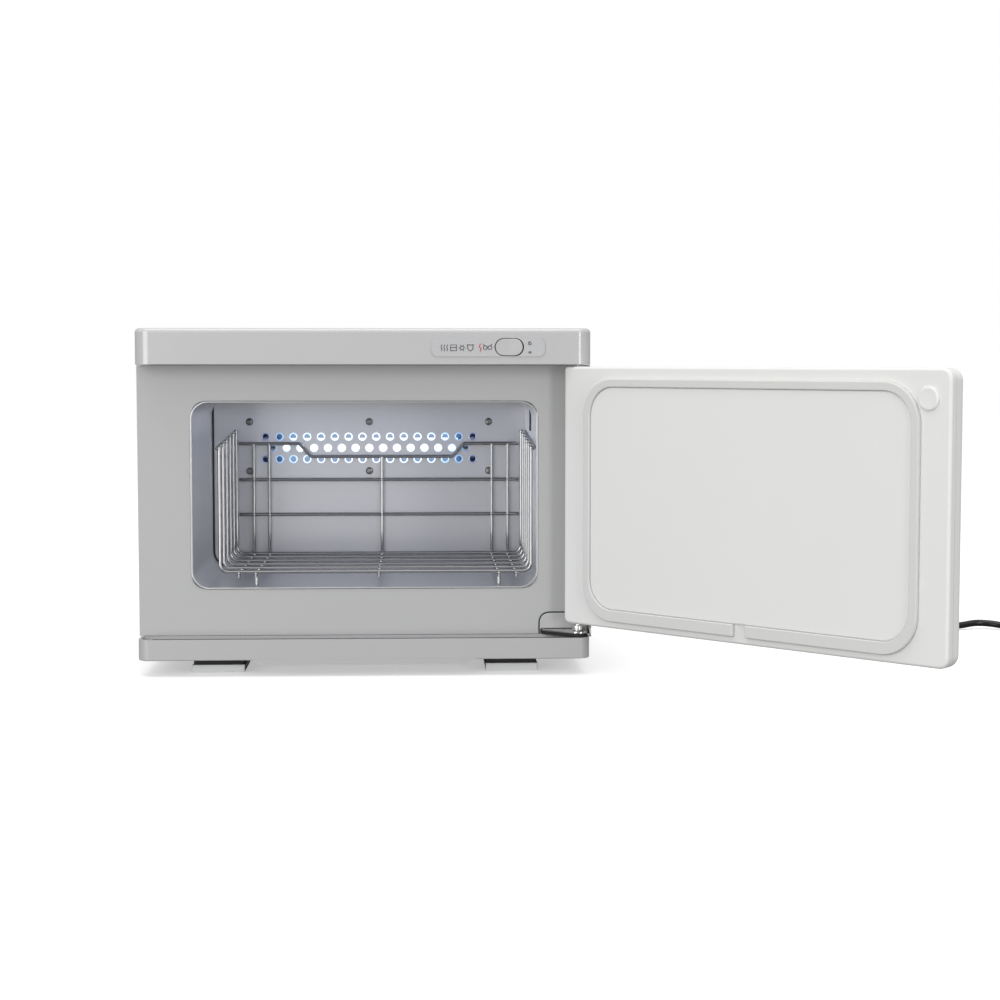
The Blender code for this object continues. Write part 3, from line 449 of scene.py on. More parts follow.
# Painted light: the reflector glows (below) with the lamp's light instead of being lit by it.
REFLECTOR_PAINTED_LIGHT = surface("reflector_steel_painted_light", (0.13, 0.16, 0.22), 0.6, 1.0, mottle=0.05, bump=0.05)
CHROME = surface("chrome_wire", (0.40, 0.40, 0.405), 0.11, 1.0, mottle=0.05, patch=120.0, wear=0.05,
    bump=0.04)
STEEL = surface("zinc_plated_steel", (0.74, 0.74, 0.73), 0.3, 1.0, mottle=0.12, patch=160.0, wear=0.08,
    grain=500.0, bump=0.06)
GLASS = surface("lamp_glass", (0.80, 0.88, 1.0), 0.15, mottle=0.02, bump=0.01)
CERAMIC = surface("lamp_holder_plastic", (0.72, 0.72, 0.69), 0.5, mottle=0.04, bump=0.08)
BUSH = surface("bush_plastic", (0.62, 0.62, 0.61), 0.42, mottle=0.03, bump=0.05)
BLACK = surface("black_plastic", (0.016, 0.016, 0.017), 0.34, mottle=0.15, grain=1200.0, bump=0.08)
CORD_PVC = surface("cord_pvc", (0.005, 0.005, 0.0055), 0.26, mottle=0.2, patch=60.0, grain=800.0,
    bump=0.1)
# Black rubber for the feet; the same black is painted shade in the lower hinge's pad and strip.
RUBBER_AND_SHADE = surface("foot_rubber", (0.008, 0.008, 0.008), 0.62, mottle=0.2, grain=1600.0, bump=0.2)
SHOE = surface("foot_shoe_plastic", (0.74, 0.745, 0.75), 0.4, mottle=0.03, grain=1500.0, bump=0.08)
FOAM = surface("insulation_foam", (0.72, 0.66, 0.46), 0.95, mottle=0.16, patch=240.0, grain=420.0,
    bump=0.8, specular=0.1)
HEATER = surface("heater_silicone", (0.42, 0.11, 0.05), 0.6, mottle=0.1, patch=200.0, grain=900.0,
    bump=0.3)
COPPER = surface("copper_winding", (0.60, 0.22, 0.08), 0.35, 0.9, mottle=0.25, patch=300.0, grain=900.0,
    bump=0.6, stretch=(0.2, 2.0, 2.0))
INK = surface("dark_ink", (0.10, 0.10, 0.105), 0.5, mottle=0.15, bump=0.05)
RED_INK = surface("red_ink", (0.60, 0.05, 0.07), 0.5, mottle=0.1, bump=0.05)
SWITCH_GREY = surface("switch_housing_grey", (0.10, 0.10, 0.102), 0.4, mottle=0.1, bump=0.05)
BRIGHT = surface("bright_steel", (0.66, 0.66, 0.65), 0.16, 1.0, mottle=0.06, patch=160.0, wear=0.04,
    bump=0.02)
# Painted shade: the lamp screws' steel is darker than the zinc-plated steel, standing for their shaded
# recesses.
SHADED_SCREW_STEEL = surface("lamp_screw_steel_shaded", (0.30, 0.30, 0.30), 0.35, 1.0, mottle=0.2, patch=300.0, bump=0.1)
# Painted light: the punched rims glow as bright rings of lamp light.
HOLE_RIM_PAINTED_LIGHT = surface("punched_rim_painted_light", (0.62, 0.64, 0.68), 0.3, 0.8, mottle=0.05, bump=0.05)
# Dark lines: painted shade in the hinge plate's outline gap and along the tray's gutter, a painted
# reflection on the chamber's right wall, and a dark line along its back left corner.
DARK_LINE_SHADE = surface("dark_line_and_painted_shade", (0.02, 0.02, 0.022), 0.5, mottle=0.2, bump=0.2)
FLOOR = surface("studio_floor", (0.8, 0.8, 0.8), 0.9, mottle=0.005, bump=0.0)
FLOOR.node_tree.nodes["Principled BSDF"].inputs["Emission Color"].default_value = (1, 1, 1, 1)
FLOOR.node_tree.nodes["Principled BSDF"].inputs["Emission Strength"].default_value = 0.4
glow_along_x(GLASS, ((0.0, (1.0, 1.0, 1.0)), (0.85, (0.95, 0.97, 1.0)), (0.94, (0.75, 0.8, 1.0)),
    (1.0, (0.3, 0.35, 0.6))), 3.0, 80 * MM)
# Painted light: the reflector and the hole rims glow though they are no lamps.
glow_along_x(REFLECTOR_PAINTED_LIGHT, ((0.0, (0.72, 0.80, 1.0)), (0.62, (0.55, 0.80, 1.0)), (0.80, (0.25, 0.70, 1.3)),
    (0.90, (0.01, 0.03, 0.10))), 0.16, 92 * MM)
glow_along_x(HOLE_RIM_PAINTED_LIGHT, ((0.0, (0.80, 0.90, 1.0)), (0.62, (0.60, 0.82, 1.0)), (0.80, (0.14, 0.42, 0.8)),
    (0.93, (0.02, 0.05, 0.16))), 1.1, 92 * MM)


# Body


def opening(grow, y0, y1, segments=12):
    """The chamber's cross-section, grown outwards, from one depth to another."""
    low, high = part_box("liner")
    wall = 1.0 * MM
    return rounded_box((low.x + wall - grow, y0, low.z + wall - grow),
        (high.x - wall + grow, y1, high.z - wall + grow), 13 * MM + grow, segments, "Y")


def cross_screw(name, place, outwards, radius, finish=STEEL, stands_for=()):
    """A pan-head screw with a cross recess, its head standing outwards from the place."""
    outwards = Vector(outwards)
    place = Vector(place)
    height = radius * 0.62
    dome = [(0.0, radius * 0.96), (0.25, radius), (0.55, radius * 0.93), (0.8, radius * 0.72),
        (0.95, radius * 0.42), (1.0, radius * 0.12)]
    head = turned(place, place + outwards * height, dome, sides=28)
    side = outwards.orthogonal().normalized()
    turn = Matrix((side, outwards.cross(side), outwards)).transposed().to_4x4()
    slots = []
    for size in ((radius * 1.25, radius * 0.26), (radius * 0.26, radius * 1.25)):
        blade = rounded_box((-size[0] / 2, -size[1] / 2, height * 0.3),
            (size[0] / 2, size[1] / 2, height * 1.5))
        bmesh.ops.rotate(blade, cent=(0, 0, 0), matrix=Matrix.Rotation(0.5, 3, "Z"), verts=blade.verts)
        bmesh.ops.transform(blade, matrix=Matrix.Translation(place) @ turn, verts=blade.verts)
        slots.append(blade)
    return piece(name, head, finish, stands_for=stands_for, cuts=slots, smooth=40)


def build_front_frame():
    low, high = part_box("front_frame")
    hole = opening(1.3 * MM, FRONT - 0.01, FRONT + 0.01)
    piece("front_frame_panel", rounded_box(low, high), SHADED_PAINT, stands_for="front_frame", cuts=[hole],
        edge=0.25)


def build_outer_case():
    """One folded sheet with rounded folds, fixed at the rear of each side."""
    low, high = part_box("outer_case")
    sheet = 1.2 * MM
    fold = rounded_box(low, high, 2.4 * MM, 5, "Y", keep=lambda m: m.z > 0)
    inside = rounded_box((low.x + sheet, low.y - 0.01, low.z - 0.01),
        (high.x - sheet, high.y + 0.01, high.z - sheet), 1.2 * MM, 4, "Y", keep=lambda m: m.z > 0)
    wire_hole = cylinder(at(152, 200, 235), at(152, 200, 245), 5 * MM)
    piece("outer_case_sheet", fold, SHADED_PAINT, stands_for="outer_case", cuts=[inside, wire_hole],
        edge=0.3)
    for name, x, side in (("left", low.x, -1), ("right", high.x, 1)):
        for number, height in enumerate((52, 214), 1):
            cross_screw(f"case_screw_{name}_{number}", at(x / MM, 212, height), (side, 0, 0), 3.0 * MM)


def build_back_panel():
    low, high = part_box("back_panel")
    panel = rounded_box(low, high, 2.0 * MM, 4, "Y")
    cuts = [cylinder(at(130, 200, 40), at(130, 250, 40), 6.5 * MM)]
    for count, first, z in ((9, -48, 168), (9, -48, 192), (8, -72, 58)):
        for i in range(count):
            x = first + VENT_PITCH * i
            cuts.append(rounded_box(at(x - 2, 220, z - 8), at(x + 2, 230, z + 8), 1.99 * MM, 5, "Y"))
    cutter = merged(*cuts)
    piece("back_panel_sheet", panel, SHADED_PAINT, stands_for="back_panel", cuts=[cutter], edge=0.35)
    rib = [at(x, 226.7, z) for x, z in rounded_outline([(-160, 42), (-160, 226), (160, 226), (160, 60),
        (112, 60), (112, 42)], [8] * 6)]
    wires("back_panel_rib", [rib], 0.9 * MM, SHADED_PAINT, closed=True, resolution=3)
    number = 0
    for x in (-168, 0, 168):
        for z in (36, 233):
            number += 1
            cross_screw(f"back_panel_screw_{number}", at(x, 226.6, z), (0, 1, 0), 3.0 * MM)


def pill(centre, half, low, high, grow=0.0):
    """An upright-ended pill outline drawn out along Y."""
    x, z = centre
    w, h = half[0] + grow, half[1] + grow
    return rounded_box((x - w, low, z - h), (x + w, high, z + h), h - 0.02 * MM, 12, "Y")


def build_top_cover():
    low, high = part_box("top_cover")
    wall = 2.5 * MM
    outer = rounded_box(low, high, 11.5 * MM, 14, "Z")
    soften(outer, 3.5 * MM, 6, lambda co: co.z > high.z - 1e-5)
    soften(outer, 0.7 * MM, 3, lambda co: co.z < low.z + 1e-5)
    over_body = rounded_box((low.x + wall, FRONT - 0.4 * MM, low.z - 0.01),
        (high.x - wall, high.y - wall, high.z - wall), 6.5 * MM, 8, "Z", keep=lambda m: m.y > 0)
    over_door = rounded_box((low.x + wall, low.y + wall, low.z + wall),
        (high.x - wall, FRONT + 5 * MM, high.z - wall), 6.5 * MM, 8, "Z", keep=lambda m: m.y < FRONT)
    rocker_hole = pill((ROCKER.x, ROCKER.z), (10.5 * MM, 6.1 * MM), low.y - 0.01, low.y + 0.01,
        0.8 * MM)
    pin_hole = cylinder((HINGE.x, HINGE.y, low.z - 0.002), (HINGE.x, HINGE.y, low.z + 0.01), 3.2 * MM)
    piece("top_cover_shell", outer, SHADED_COVER, stands_for="top_cover",
        cuts=[over_body, over_door, rocker_hole, pin_hole], edge=0.3)


def glyph(points):
    """A drawn line on the overlay, its points in millimetres across and above the table."""
    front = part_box("control_overlay")[0].y
    return [Vector((x * MM, front - 0.02 * MM, TABLE + z * MM)) for x, z in points]


def build_overlay():
    low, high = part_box("control_overlay")
    film = rounded_box(low, high, 5 * MM, 8, "Y")
    hole = pill((ROCKER.x, ROCKER.z), (10.5 * MM, 6.1 * MM), low.y - 0.01, high.y + 0.01, 0.8 * MM)
    piece("overlay_sheet", film, SHADED_OVERLAY, stands_for="control_overlay", cuts=[hole], edge=0.12)
    loops = [glyph(arc((93.4, 253.5), 1.5, 0, 350, 14)), glyph(arc((97.0, 253.5), 1.5, 0, 350, 14)),
        glyph([(91.8, 256.2), (93.0, 255.0)]), glyph([(98.6, 256.2), (97.4, 255.0)]),
        glyph(arc((127.7, 256.8), 1.1, 60, 390, 12)), glyph([(127.7, 256.8), (127.7, 258.4)]),
        glyph([(126.6, 249.5), (128.8, 249.5)]), glyph([(126.6, 250.3), (128.8, 250.3)])]
    for x in (59.6, 61.8, 64.0):
        loops.append(glyph([(x, 250.9), (x + 0.7, 252.2), (x - 0.2, 253.8), (x + 0.6, 255.8)]))
    loops.append(glyph([(66.8, 251.2), (66.8, 255.6), (71.4, 255.6), (71.4, 251.2), (66.8, 251.2)]))
    loops.append(glyph([(66.8, 253.6), (71.4, 253.6)]))
    loops.append(glyph(arc((75.6, 253.4), 1.4, 0, 350, 12)))
    for a in range(0, 360, 60):
        c, d = math.cos(math.radians(a)), math.sin(math.radians(a))
        loops.append(glyph([(75.6 + 1.9 * c, 253.4 + 1.9 * d), (75.6 + 2.6 * c, 253.4 + 2.6 * d)]))
    loops.append(glyph([(80.0, 255.6), (80.0, 252.4), (82.0, 250.9), (84.0, 252.4), (84.0, 255.6)]))
    loops.append(glyph([(79.2, 255.6), (84.8, 255.6)]))
    wires("overlay_marks", loops, 0.34 * MM, INK, resolution=1)
    flame = [glyph([(89.3, 250.6), (90.2, 252.6), (88.8, 254.2), (89.7, 256.6)])]
    wires("overlay_heat_mark", flame, 0.42 * MM, RED_INK, resolution=1)


def build_switch():
    low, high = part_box("switch_body")
    body = rounded_box(low, high, 1.5 * MM, 3, "Y")
    well = pill((ROCKER.x, ROCKER.z), (11.7 * MM, 6.9 * MM), low.y - 0.01, low.y + 10.2 * MM)
    tabs = [rounded_box((ROCKER.x + x * MM - 2.4 * MM, high.y - 0.2 * MM, ROCKER.z - 0.4 * MM),
        (ROCKER.x + x * MM + 2.4 * MM, high.y + 6 * MM, ROCKER.z + 0.4 * MM)) for x in (-7, 7)]
    piece("switch_housing", body, SWITCH_GREY, stands_for="switch_body", cuts=[well], edge=0.3)
    piece("switch_terminals", merged(*tabs), STEEL, edge=0.1)
    turn = Matrix.Translation(ROCKER + Vector((0.2 * MM, 0, 0)))
    turn = turn @ Matrix.Rotation(ROCKER_TILT, 4, "Z")
    half = (10.55 * MM, 6.5 * MM)
    cap = rounded_box((-half[0], -4.7 * MM, -half[1]), (half[0], 6 * MM, half[1]), half[1] - 0.1 * MM,
        12, "Y")
    soften(cap, 0.8 * MM, 4, lambda co: co.y < -4.69 * MM)
    dish = bmesh.new()
    bmesh.ops.create_uvsphere(dish, u_segments=48, v_segments=24, radius=60 * MM)
    bmesh.ops.translate(dish, vec=(0, -64.25 * MM, 0), verts=dish.verts)
    piece("rocker_cap", cap, SHADED_ROCKER, "rocker", "rocker_switch", cuts=[dish], matrix=turn,
        edge=0.15)


# Chamber

HOLE_PITCH, HOLE_ROW_PITCH = 11.85, 9.6
LAMP_Y, LAMP_Z = middle_of("uv_lamp").yz
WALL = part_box("liner_back")[0].y


def build_liner():
    low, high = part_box("liner")
    tub = opening(1.0 * MM, low.y, high.y, 14)
    inside = opening(0.0, low.y - 0.01, high.y + 0.01, 14)
    piece("liner_tub", tub, ALUMINIUM, stands_for="liner", cuts=[inside], edge=0.2)
    corners = [(low.x, low.z), (low.x, high.z), (high.x, high.z), (high.x, low.z)]
    outline = rounded_outline(corners, [13.6 * MM] * 4, 12)
    wires("liner_rim", [[Vector((x, FRONT - 0.3 * MM, z)) for x, z in outline]], 0.4 * MM, CHROME,
        closed=True)
    for name, side in (("left", -1), ("right", 1)):
        x = side * 133.6
        bend = arc((side * 121.2, 79.5), 12.4, 180 if side < 0 else 0, 262 if side < 0 else -82, 10)
        route = [at(x, 160.4, 209.0)] + [at(a, 160.4, b) for a, b in bend]
        # On the right wall the short dark stroke is a painted reflection, a dark line mirrored in the
        # wall.
        if side > 0:
            route = [at(x + 0.1, 75, 204), at(x + 0.1, 75, 186)]
        wires(f"liner_seam_{name}", [route], 0.85 * MM, DARK_LINE_SHADE, resolution=3)


def lamp_holes():
    places = []
    for row, count in ((-1, 16), (0, 15), (1, 16)):
        for i in range(count):
            places.append(((i - (count - 1) / 2) * HOLE_PITCH * MM, LAMP_Z + row * HOLE_ROW_PITCH * MM))
    return places


def build_liner_back():
    low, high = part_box("liner_back")
    plate = rounded_box(low, high, 13 * MM, 8, "Y")
    holes = [cylinder((x, low.y - 0.01, z), (x, high.y + 0.01, z), 2.95 * MM, sides=28) for x,
        z in lamp_holes()]
    holes += [cylinder((x * MM, low.y - 0.01, z), (x * MM, high.y + 0.01, z), 1.8 * MM,
        sides=16) for x in (-102.5, 0, 102.5) for z in (TABLE + 148.8 * MM, TABLE + 191 * MM)]
    piece("liner_back_wall", plate, ALUMINIUM, stands_for="liner_back", cuts=[merged(*holes)],
        edge=0.22)
    # Rims round the lamp holes, glowing with painted lamp light.
    rims = []
    for x, z in lamp_holes():
        rims.append([Vector((x + 3.05 * MM * math.cos(a), low.y - 0.05 * MM,
            z + 3.05 * MM * math.sin(a))) for a in (math.tau * i / 20 for i in range(20))])
    wires("liner_back_hole_rims", rims, 0.5 * MM, HOLE_RIM_PAINTED_LIGHT, closed=True, resolution=2)
    # The lamp screws take the darkened steel: painted shade.
    number = 0
    for z in (148.8, 191.0):
        for x in (-102.5, 0.0, 102.5):
            number += 1
            cross_screw(f"lamp_screw_head_{number}", at(x, (WALL - FRONT) / MM - 0.3, z), (0, -1, 0),
                3.1 * MM, SHADED_SCREW_STEEL, f"lamp_screw_{number}")


def build_lamp():
    low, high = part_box("uv_lamp")
    radius = (high.z - low.z) / 2
    profile = [(0.0, radius * 0.9), (0.008, radius), (0.992, radius), (1.0, radius * 0.9)]
    piece("uv_lamp_tube", turned((low.x + 3 * MM, LAMP_Y, LAMP_Z), (high.x - 3 * MM, LAMP_Y, LAMP_Z),
        profile), GLASS, stands_for="uv_lamp")
    for name, side, end in (("left", -1, low.x), ("right", 1, high.x)):
        cap = turned((end, LAMP_Y, LAMP_Z), (end - side * 4 * MM, LAMP_Y, LAMP_Z),
            [(0.0, radius * 0.86), (0.1, radius * 1.0), (0.8, radius * 1.01), (0.86, radius * 0.97),
            (1.0, radius * 0.97)])
        piece(f"uv_lamp_cap_{name}", cap, STEEL)
        lo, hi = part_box(f"lamp_holder_{name}")
        holder = rounded_box(lo, hi, 2 * MM, 4)
        slot_cut = rounded_box((lo.x - 0.01, lo.y - 0.01, LAMP_Z - 1.2 * MM),
            (hi.x + 0.01, LAMP_Y - 3 * MM, LAMP_Z + 1.2 * MM))
        piece(f"lamp_holder_{name}_body", holder, CERAMIC, stands_for=f"lamp_holder_{name}",
            cuts=[slot_cut], edge=0.3)


def build_lamp_housing():
    low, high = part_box("lamp_housing")
    flange = rounded_box((low.x, low.y, low.z), (high.x, low.y + 1 * MM, high.z), 4 * MM, 5, "Y")
    trough = rounded_box((-97 * MM, low.y + 0.5 * MM, LAMP_Z - 17 * MM),
        (97 * MM, high.y, LAMP_Z + 17 * MM), 9 * MM, 8, "X", keep=lambda m: m.y > low.y + 15 * MM)
    hollow = rounded_box((-96 * MM, low.y - 0.01, LAMP_Z - 16 * MM),
        (96 * MM, high.y - 1 * MM, LAMP_Z + 16 * MM), 8 * MM, 8, "X",
        keep=lambda m: m.y > low.y + 5 * MM)
    # The reflector's glow is painted lamp light.
    piece("lamp_reflector", flange, REFLECTOR_PAINTED_LIGHT, stands_for="lamp_housing", joins=[trough], cuts=[hollow],
        edge=0.25)


def carried(node, finish, edge):
    """A CAD node that stays, with a finish and softened edges."""
    obj = frame["nodes"][node]
    obj.data.materials.clear()
    obj.data.materials.append(finish)
    modifier = obj.modifiers.new("edges", "BEVEL")
    modifier.width = edge
    modifier.segments = 3
    modifier.limit_method = "ANGLE"
    modifier.angle_limit = math.radians(35)


def build_inner_parts():
    carried("insulation", FOAM, 2.0 * MM)
    carried("door_insulation", FOAM, 2.0 * MM)
    carried("wiring_loom", BLACK, 0.05 * MM)
    low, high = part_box("heater_mat")
    mat = rounded_box(low, (high.x, high.y, low.z + 1.2 * MM), 6 * MM, 5, "Z")
    rows = 9
    track = []
    for i in range(rows):
        y = low.y + (high.y - low.y) * (i + 0.75) / (rows + 0.5)
        ends = (low.x + 10 * MM, high.x - 10 * MM)
        for x in (ends if i % 2 == 0 else ends[::-1]):
            track.append(Vector((x, y, low.z + 1.3 * MM)))
    piece("heater_mat_sheet", mat, HEATER, stands_for="heater_mat", edge=0.3)
    wires("heater_mat_wire", [track], 0.8 * MM, HEATER, resolution=3)
    low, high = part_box("thermostat")
    x, z = (low.x + high.x) / 2, (low.z + high.z) / 2
    disc = turned((x, low.y, z), (x, high.y, z), [(0.0, 7.9 * MM), (0.12, 8 * MM), (0.15, 6.6 * MM),
        (0.92, 6.5 * MM), (1.0, 5.9 * MM)])
    tabs = [rounded_box((x + s * 3.2 * MM - 0.4 * MM, high.y - 1 * MM, z - 2 * MM),
        (x + s * 3.2 * MM + 0.4 * MM, high.y + 6 * MM, z + 2 * MM)) for s in (-1, 1)]
    piece("thermostat_disc", disc, BLACK, stands_for="thermostat", edge=0.1)
    piece("thermostat_tabs", merged(*tabs), STEEL, edge=0.15)
    low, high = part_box("thermal_fuse")
    y, z, r = (low.y + high.y) / 2, (low.z + high.z) / 2, (high.z - low.z) / 2
    barrel = turned((low.x, y, z), (high.x, y, z), [(0.0, r * 0.3), (0.03, r * 0.85), (0.1, r),
        (0.72, r), (0.76, r * 0.8), (0.97, r * 0.7), (1.0, r * 0.3)])
    piece("thermal_fuse_barrel", barrel, STEEL, stands_for="thermal_fuse")
    low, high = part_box("ballast")
    mid = (low + high) / 2
    core = rounded_box((low.x, low.y, low.z), (high.x, high.y, high.z - 3 * MM), 1 * MM, 2)
    grooves = [rounded_box((low.x - 0.01, low.y + i * 3 * MM, high.z - 3.6 * MM),
        (high.x + 0.01, low.y + i * 3 * MM + 0.5 * MM, high.z)) for i in range(1, 12)]
    winding = rounded_box((low.x + 12 * MM, low.y + 5 * MM, mid.z),
        (high.x - 12 * MM, high.y - 5 * MM, high.z), 2.4 * MM, 4)
    piece("ballast_core", core, STEEL, stands_for="ballast", cuts=[merged(*grooves)], edge=0.15)
    piece("ballast_winding", winding, COPPER, edge=0.1)
    low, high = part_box("starter")
    x, y, r = (low.x + high.x) / 2, (low.y + high.y) / 2, (high.x - low.x) / 2
    can = turned((x, y, low.z), (x, y, high.z), [(0.0, r * 0.9), (0.02, r), (0.14, r), (0.16, r * 0.93),
        (0.88, r * 0.9), (0.95, r * 0.84), (0.99, r * 0.7), (1.0, r * 0.5)], 40)
    piece("starter_can", can, SHADED_COVER, stands_for="starter", smooth=50)
    low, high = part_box("terminal_block")
    block = rounded_box(low, high, 1.2 * MM, 3)
    step = (high.x - low.x) / 3
    places = [(low.x + step * (i + 0.5), (low.y + high.y) / 2) for i in range(3)]
    wells = [cylinder((x, y, low.z + 5 * MM), (x, y, high.z + 0.01), 2.6 * MM) for x, y in places]
    heads = [cylinder((x, y, low.z + 5.2 * MM), (x, y, low.z + 8 * MM), 2.3 * MM) for x, y in places]
    piece("terminal_block_body", block, CERAMIC, stands_for="terminal_block", cuts=[merged(*wells)],
        edge=0.25)
    piece("terminal_block_screws", merged(*heads), STEEL, edge=0.3)


# Base, tray and feet


def build_base():
    low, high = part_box("base")
    inside = 171.5 * MM
    shell = rounded_box(low, high, 6 * MM, 8, "Z", keep=lambda m: m.y > 0)
    rear = rounded_box((-inside, FRONT + 72 * MM, low.z + 2 * MM),
        (inside, FRONT + 223 * MM, high.z + 0.01))
    cuts = [rear]
    for side in (-1, 1):
        x0, x1 = sorted((side * 91 * MM, side * inside))
        cuts.append(rounded_box((x0, FRONT + 2.5 * MM, low.z + 2 * MM),
            (x1, FRONT + 73 * MM, high.z + 0.01)))
    cuts.append(rounded_box((-88 * MM, FRONT - 0.01, low.z - 0.01),
        (88 * MM, FRONT + 66 * MM, TABLE + 23 * MM)))
    piece("base_shell", shell, SHADED_BASE, stands_for="base", cuts=cuts, edge=0.5, segments=3)
    low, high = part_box("bottom_cover")
    plate = rounded_box(low, high, 4 * MM, 6, "Z")
    slots = []
    for i in range(9):
        x = -48 + 12 * i
        slots.append(rounded_box((x * MM - 1.6 * MM, -12 * MM, low.z - 0.01),
            (x * MM + 1.6 * MM, 28 * MM, high.z + 0.01), 1.59 * MM, 4, "Z"))
    piece("bottom_cover_plate", plate, SHADED_PAINT, stands_for="bottom_cover", cuts=[merged(*slots)],
        edge=0.3)
    for name, x in (("left", low.x + 8 * MM), ("right", high.x - 8 * MM)):
        for row, y in (("front", low.y + 8 * MM), ("rear", high.y - 8 * MM)):
            cross_screw(f"bottom_cover_screw_{row}_{name}", (x, y, low.z), (0, 0, -1), 2.8 * MM)


def build_drip_tray():
    """The gutter with its lowered finger lip, and the shallow pan behind it."""
    low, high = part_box("drip_tray")
    front, rear = low.y, FRONT - 0.5 * MM
    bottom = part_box("base")[0].z
    top = high.z + 0.2 * MM
    gutter = rounded_box((low.x, front, bottom), (high.x, rear, top), 9 * MM, 12, "Z",
        keep=lambda m: m.y < FRONT - 0.01)
    soften(gutter, 3.4 * MM, 6, lambda co: co.z < bottom + 1e-5 and co.y < rear - 1e-5)
    lip_outline = rounded_outline([(-88 * MM, bottom + 4 * MM), (-86 * MM, bottom + 0.3 * MM),
        (-78 * MM, low.z), (78 * MM, low.z), (86 * MM, bottom + 0.3 * MM), (88 * MM, bottom + 4 * MM)],
        [0, 3 * MM, 4 * MM, 4 * MM, 3 * MM, 0])
    lip = extruded(lip_outline, front + 0.05 * MM, front + 2.3 * MM, "Y")
    pan_low = TABLE + 10.4 * MM
    pan_half = 85.5 * MM
    pan = rounded_box((-pan_half, rear - 6 * MM, pan_low), (pan_half, high.y, TABLE + 21 * MM), 4 * MM,
        5, "Z", keep=lambda m: m.y > FRONT)
    wall = 2 * MM
    gutter_hollow = rounded_box((low.x + wall, front + wall, high.z - 7 * MM),
        (high.x - wall, rear - wall, high.z + 0.01), 7 * MM, 8, "Z", keep=lambda m: m.y < FRONT - 0.01)
    pan_hollow = rounded_box((-pan_half + wall, rear - 5 * MM, bottom + wall),
        (pan_half - wall, high.y - wall, TABLE + 21.4 * MM), 3 * MM, 4, "Z", keep=lambda m: m.y > FRONT)
    piece("drip_tray_moulding", gutter, SHADED_TRAY, "drip_tray_body", "drip_tray", joins=[lip, pan],
        cuts=[gutter_hollow, pan_hollow], edge=0.45, segments=3)
    # Painted shade: a dark bead along the gutter's rear wall stands for the shade behind the front rim.
    wires("drip_tray_gutter_shade_line", [[Vector((x, rear - wall, top - 2.9 * MM)) for x in (low.x + 9 * MM,
        high.x - 9 * MM)]], 0.6 * MM, DARK_LINE_SHADE, "drip_tray_body", resolution=2)


def build_feet():
    """Each foot: a dark block, and a rubber shoe with a light tip at its front."""
    for row in ("front", "rear"):
        for side in ("left", "right"):
            low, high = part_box(f"foot_{row}_{side}")
            block = rounded_box(low, high, 1.0 * MM, 3, "Z")
            piece(f"foot_block_{row}_{side}", block, RUBBER_AND_SHADE, stands_for=f"foot_{row}_{side}",
                edge=0.4)
            low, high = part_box(f"foot_shoe_{row}_{side}")
            tip = 2.2 * MM
            shoe = rounded_box((low.x, low.y + tip, low.z), high, 1.2 * MM, 4, "Z",
                keep=lambda m: m.y > low.y + 5 * MM)
            treads = [rounded_box((low.x + 4 * MM, y, low.z - 0.01),
                (high.x - 4 * MM, y + 1.2 * MM, low.z + 0.7 * MM)) for y in [low.y + (8 + 6 * i) * MM
                for i in range(7)]]
            piece(f"foot_pad_{row}_{side}", shoe, RUBBER_AND_SHADE, stands_for=f"foot_shoe_{row}_{side}",
                cuts=[merged(*treads)], edge=0.4)
            cap = rounded_box(low, (high.x, low.y + tip - 0.05 * MM, high.z + 0.25 * MM), 1.2 * MM, 4,
                "Z", keep=lambda m: m.y < low.y + 1 * MM)
            piece(f"foot_tip_{row}_{side}", cap, SHOE, edge=0.5, segments=3)


# Hinges and door


def hinge_leaf(name, start, nose, steps, finish):
    """A flat leaf that reaches from the frame round the pin's hole."""
    low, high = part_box(f"{name}_hinge_leaf")
    outline = [(start, high.y), *arc(HINGE, nose, -120, 0, steps),
        (HINGE.x + nose, high.y)]
    piece(f"{name}_hinge_bracket", extruded(outline, low.z, high.z, "Z"), finish,
        stands_for=f"{name}_hinge_leaf", cuts=[pin_line(low.z - 0.01, high.z + 0.01, 2.8 * MM)],
        edge=0.35, segments=3)


def pin_line(low, high, radius):
    """A cylinder on the hinge's axis."""
    return cylinder((HINGE.x, HINGE.y, low), (HINGE.x, HINGE.y, high), radius)


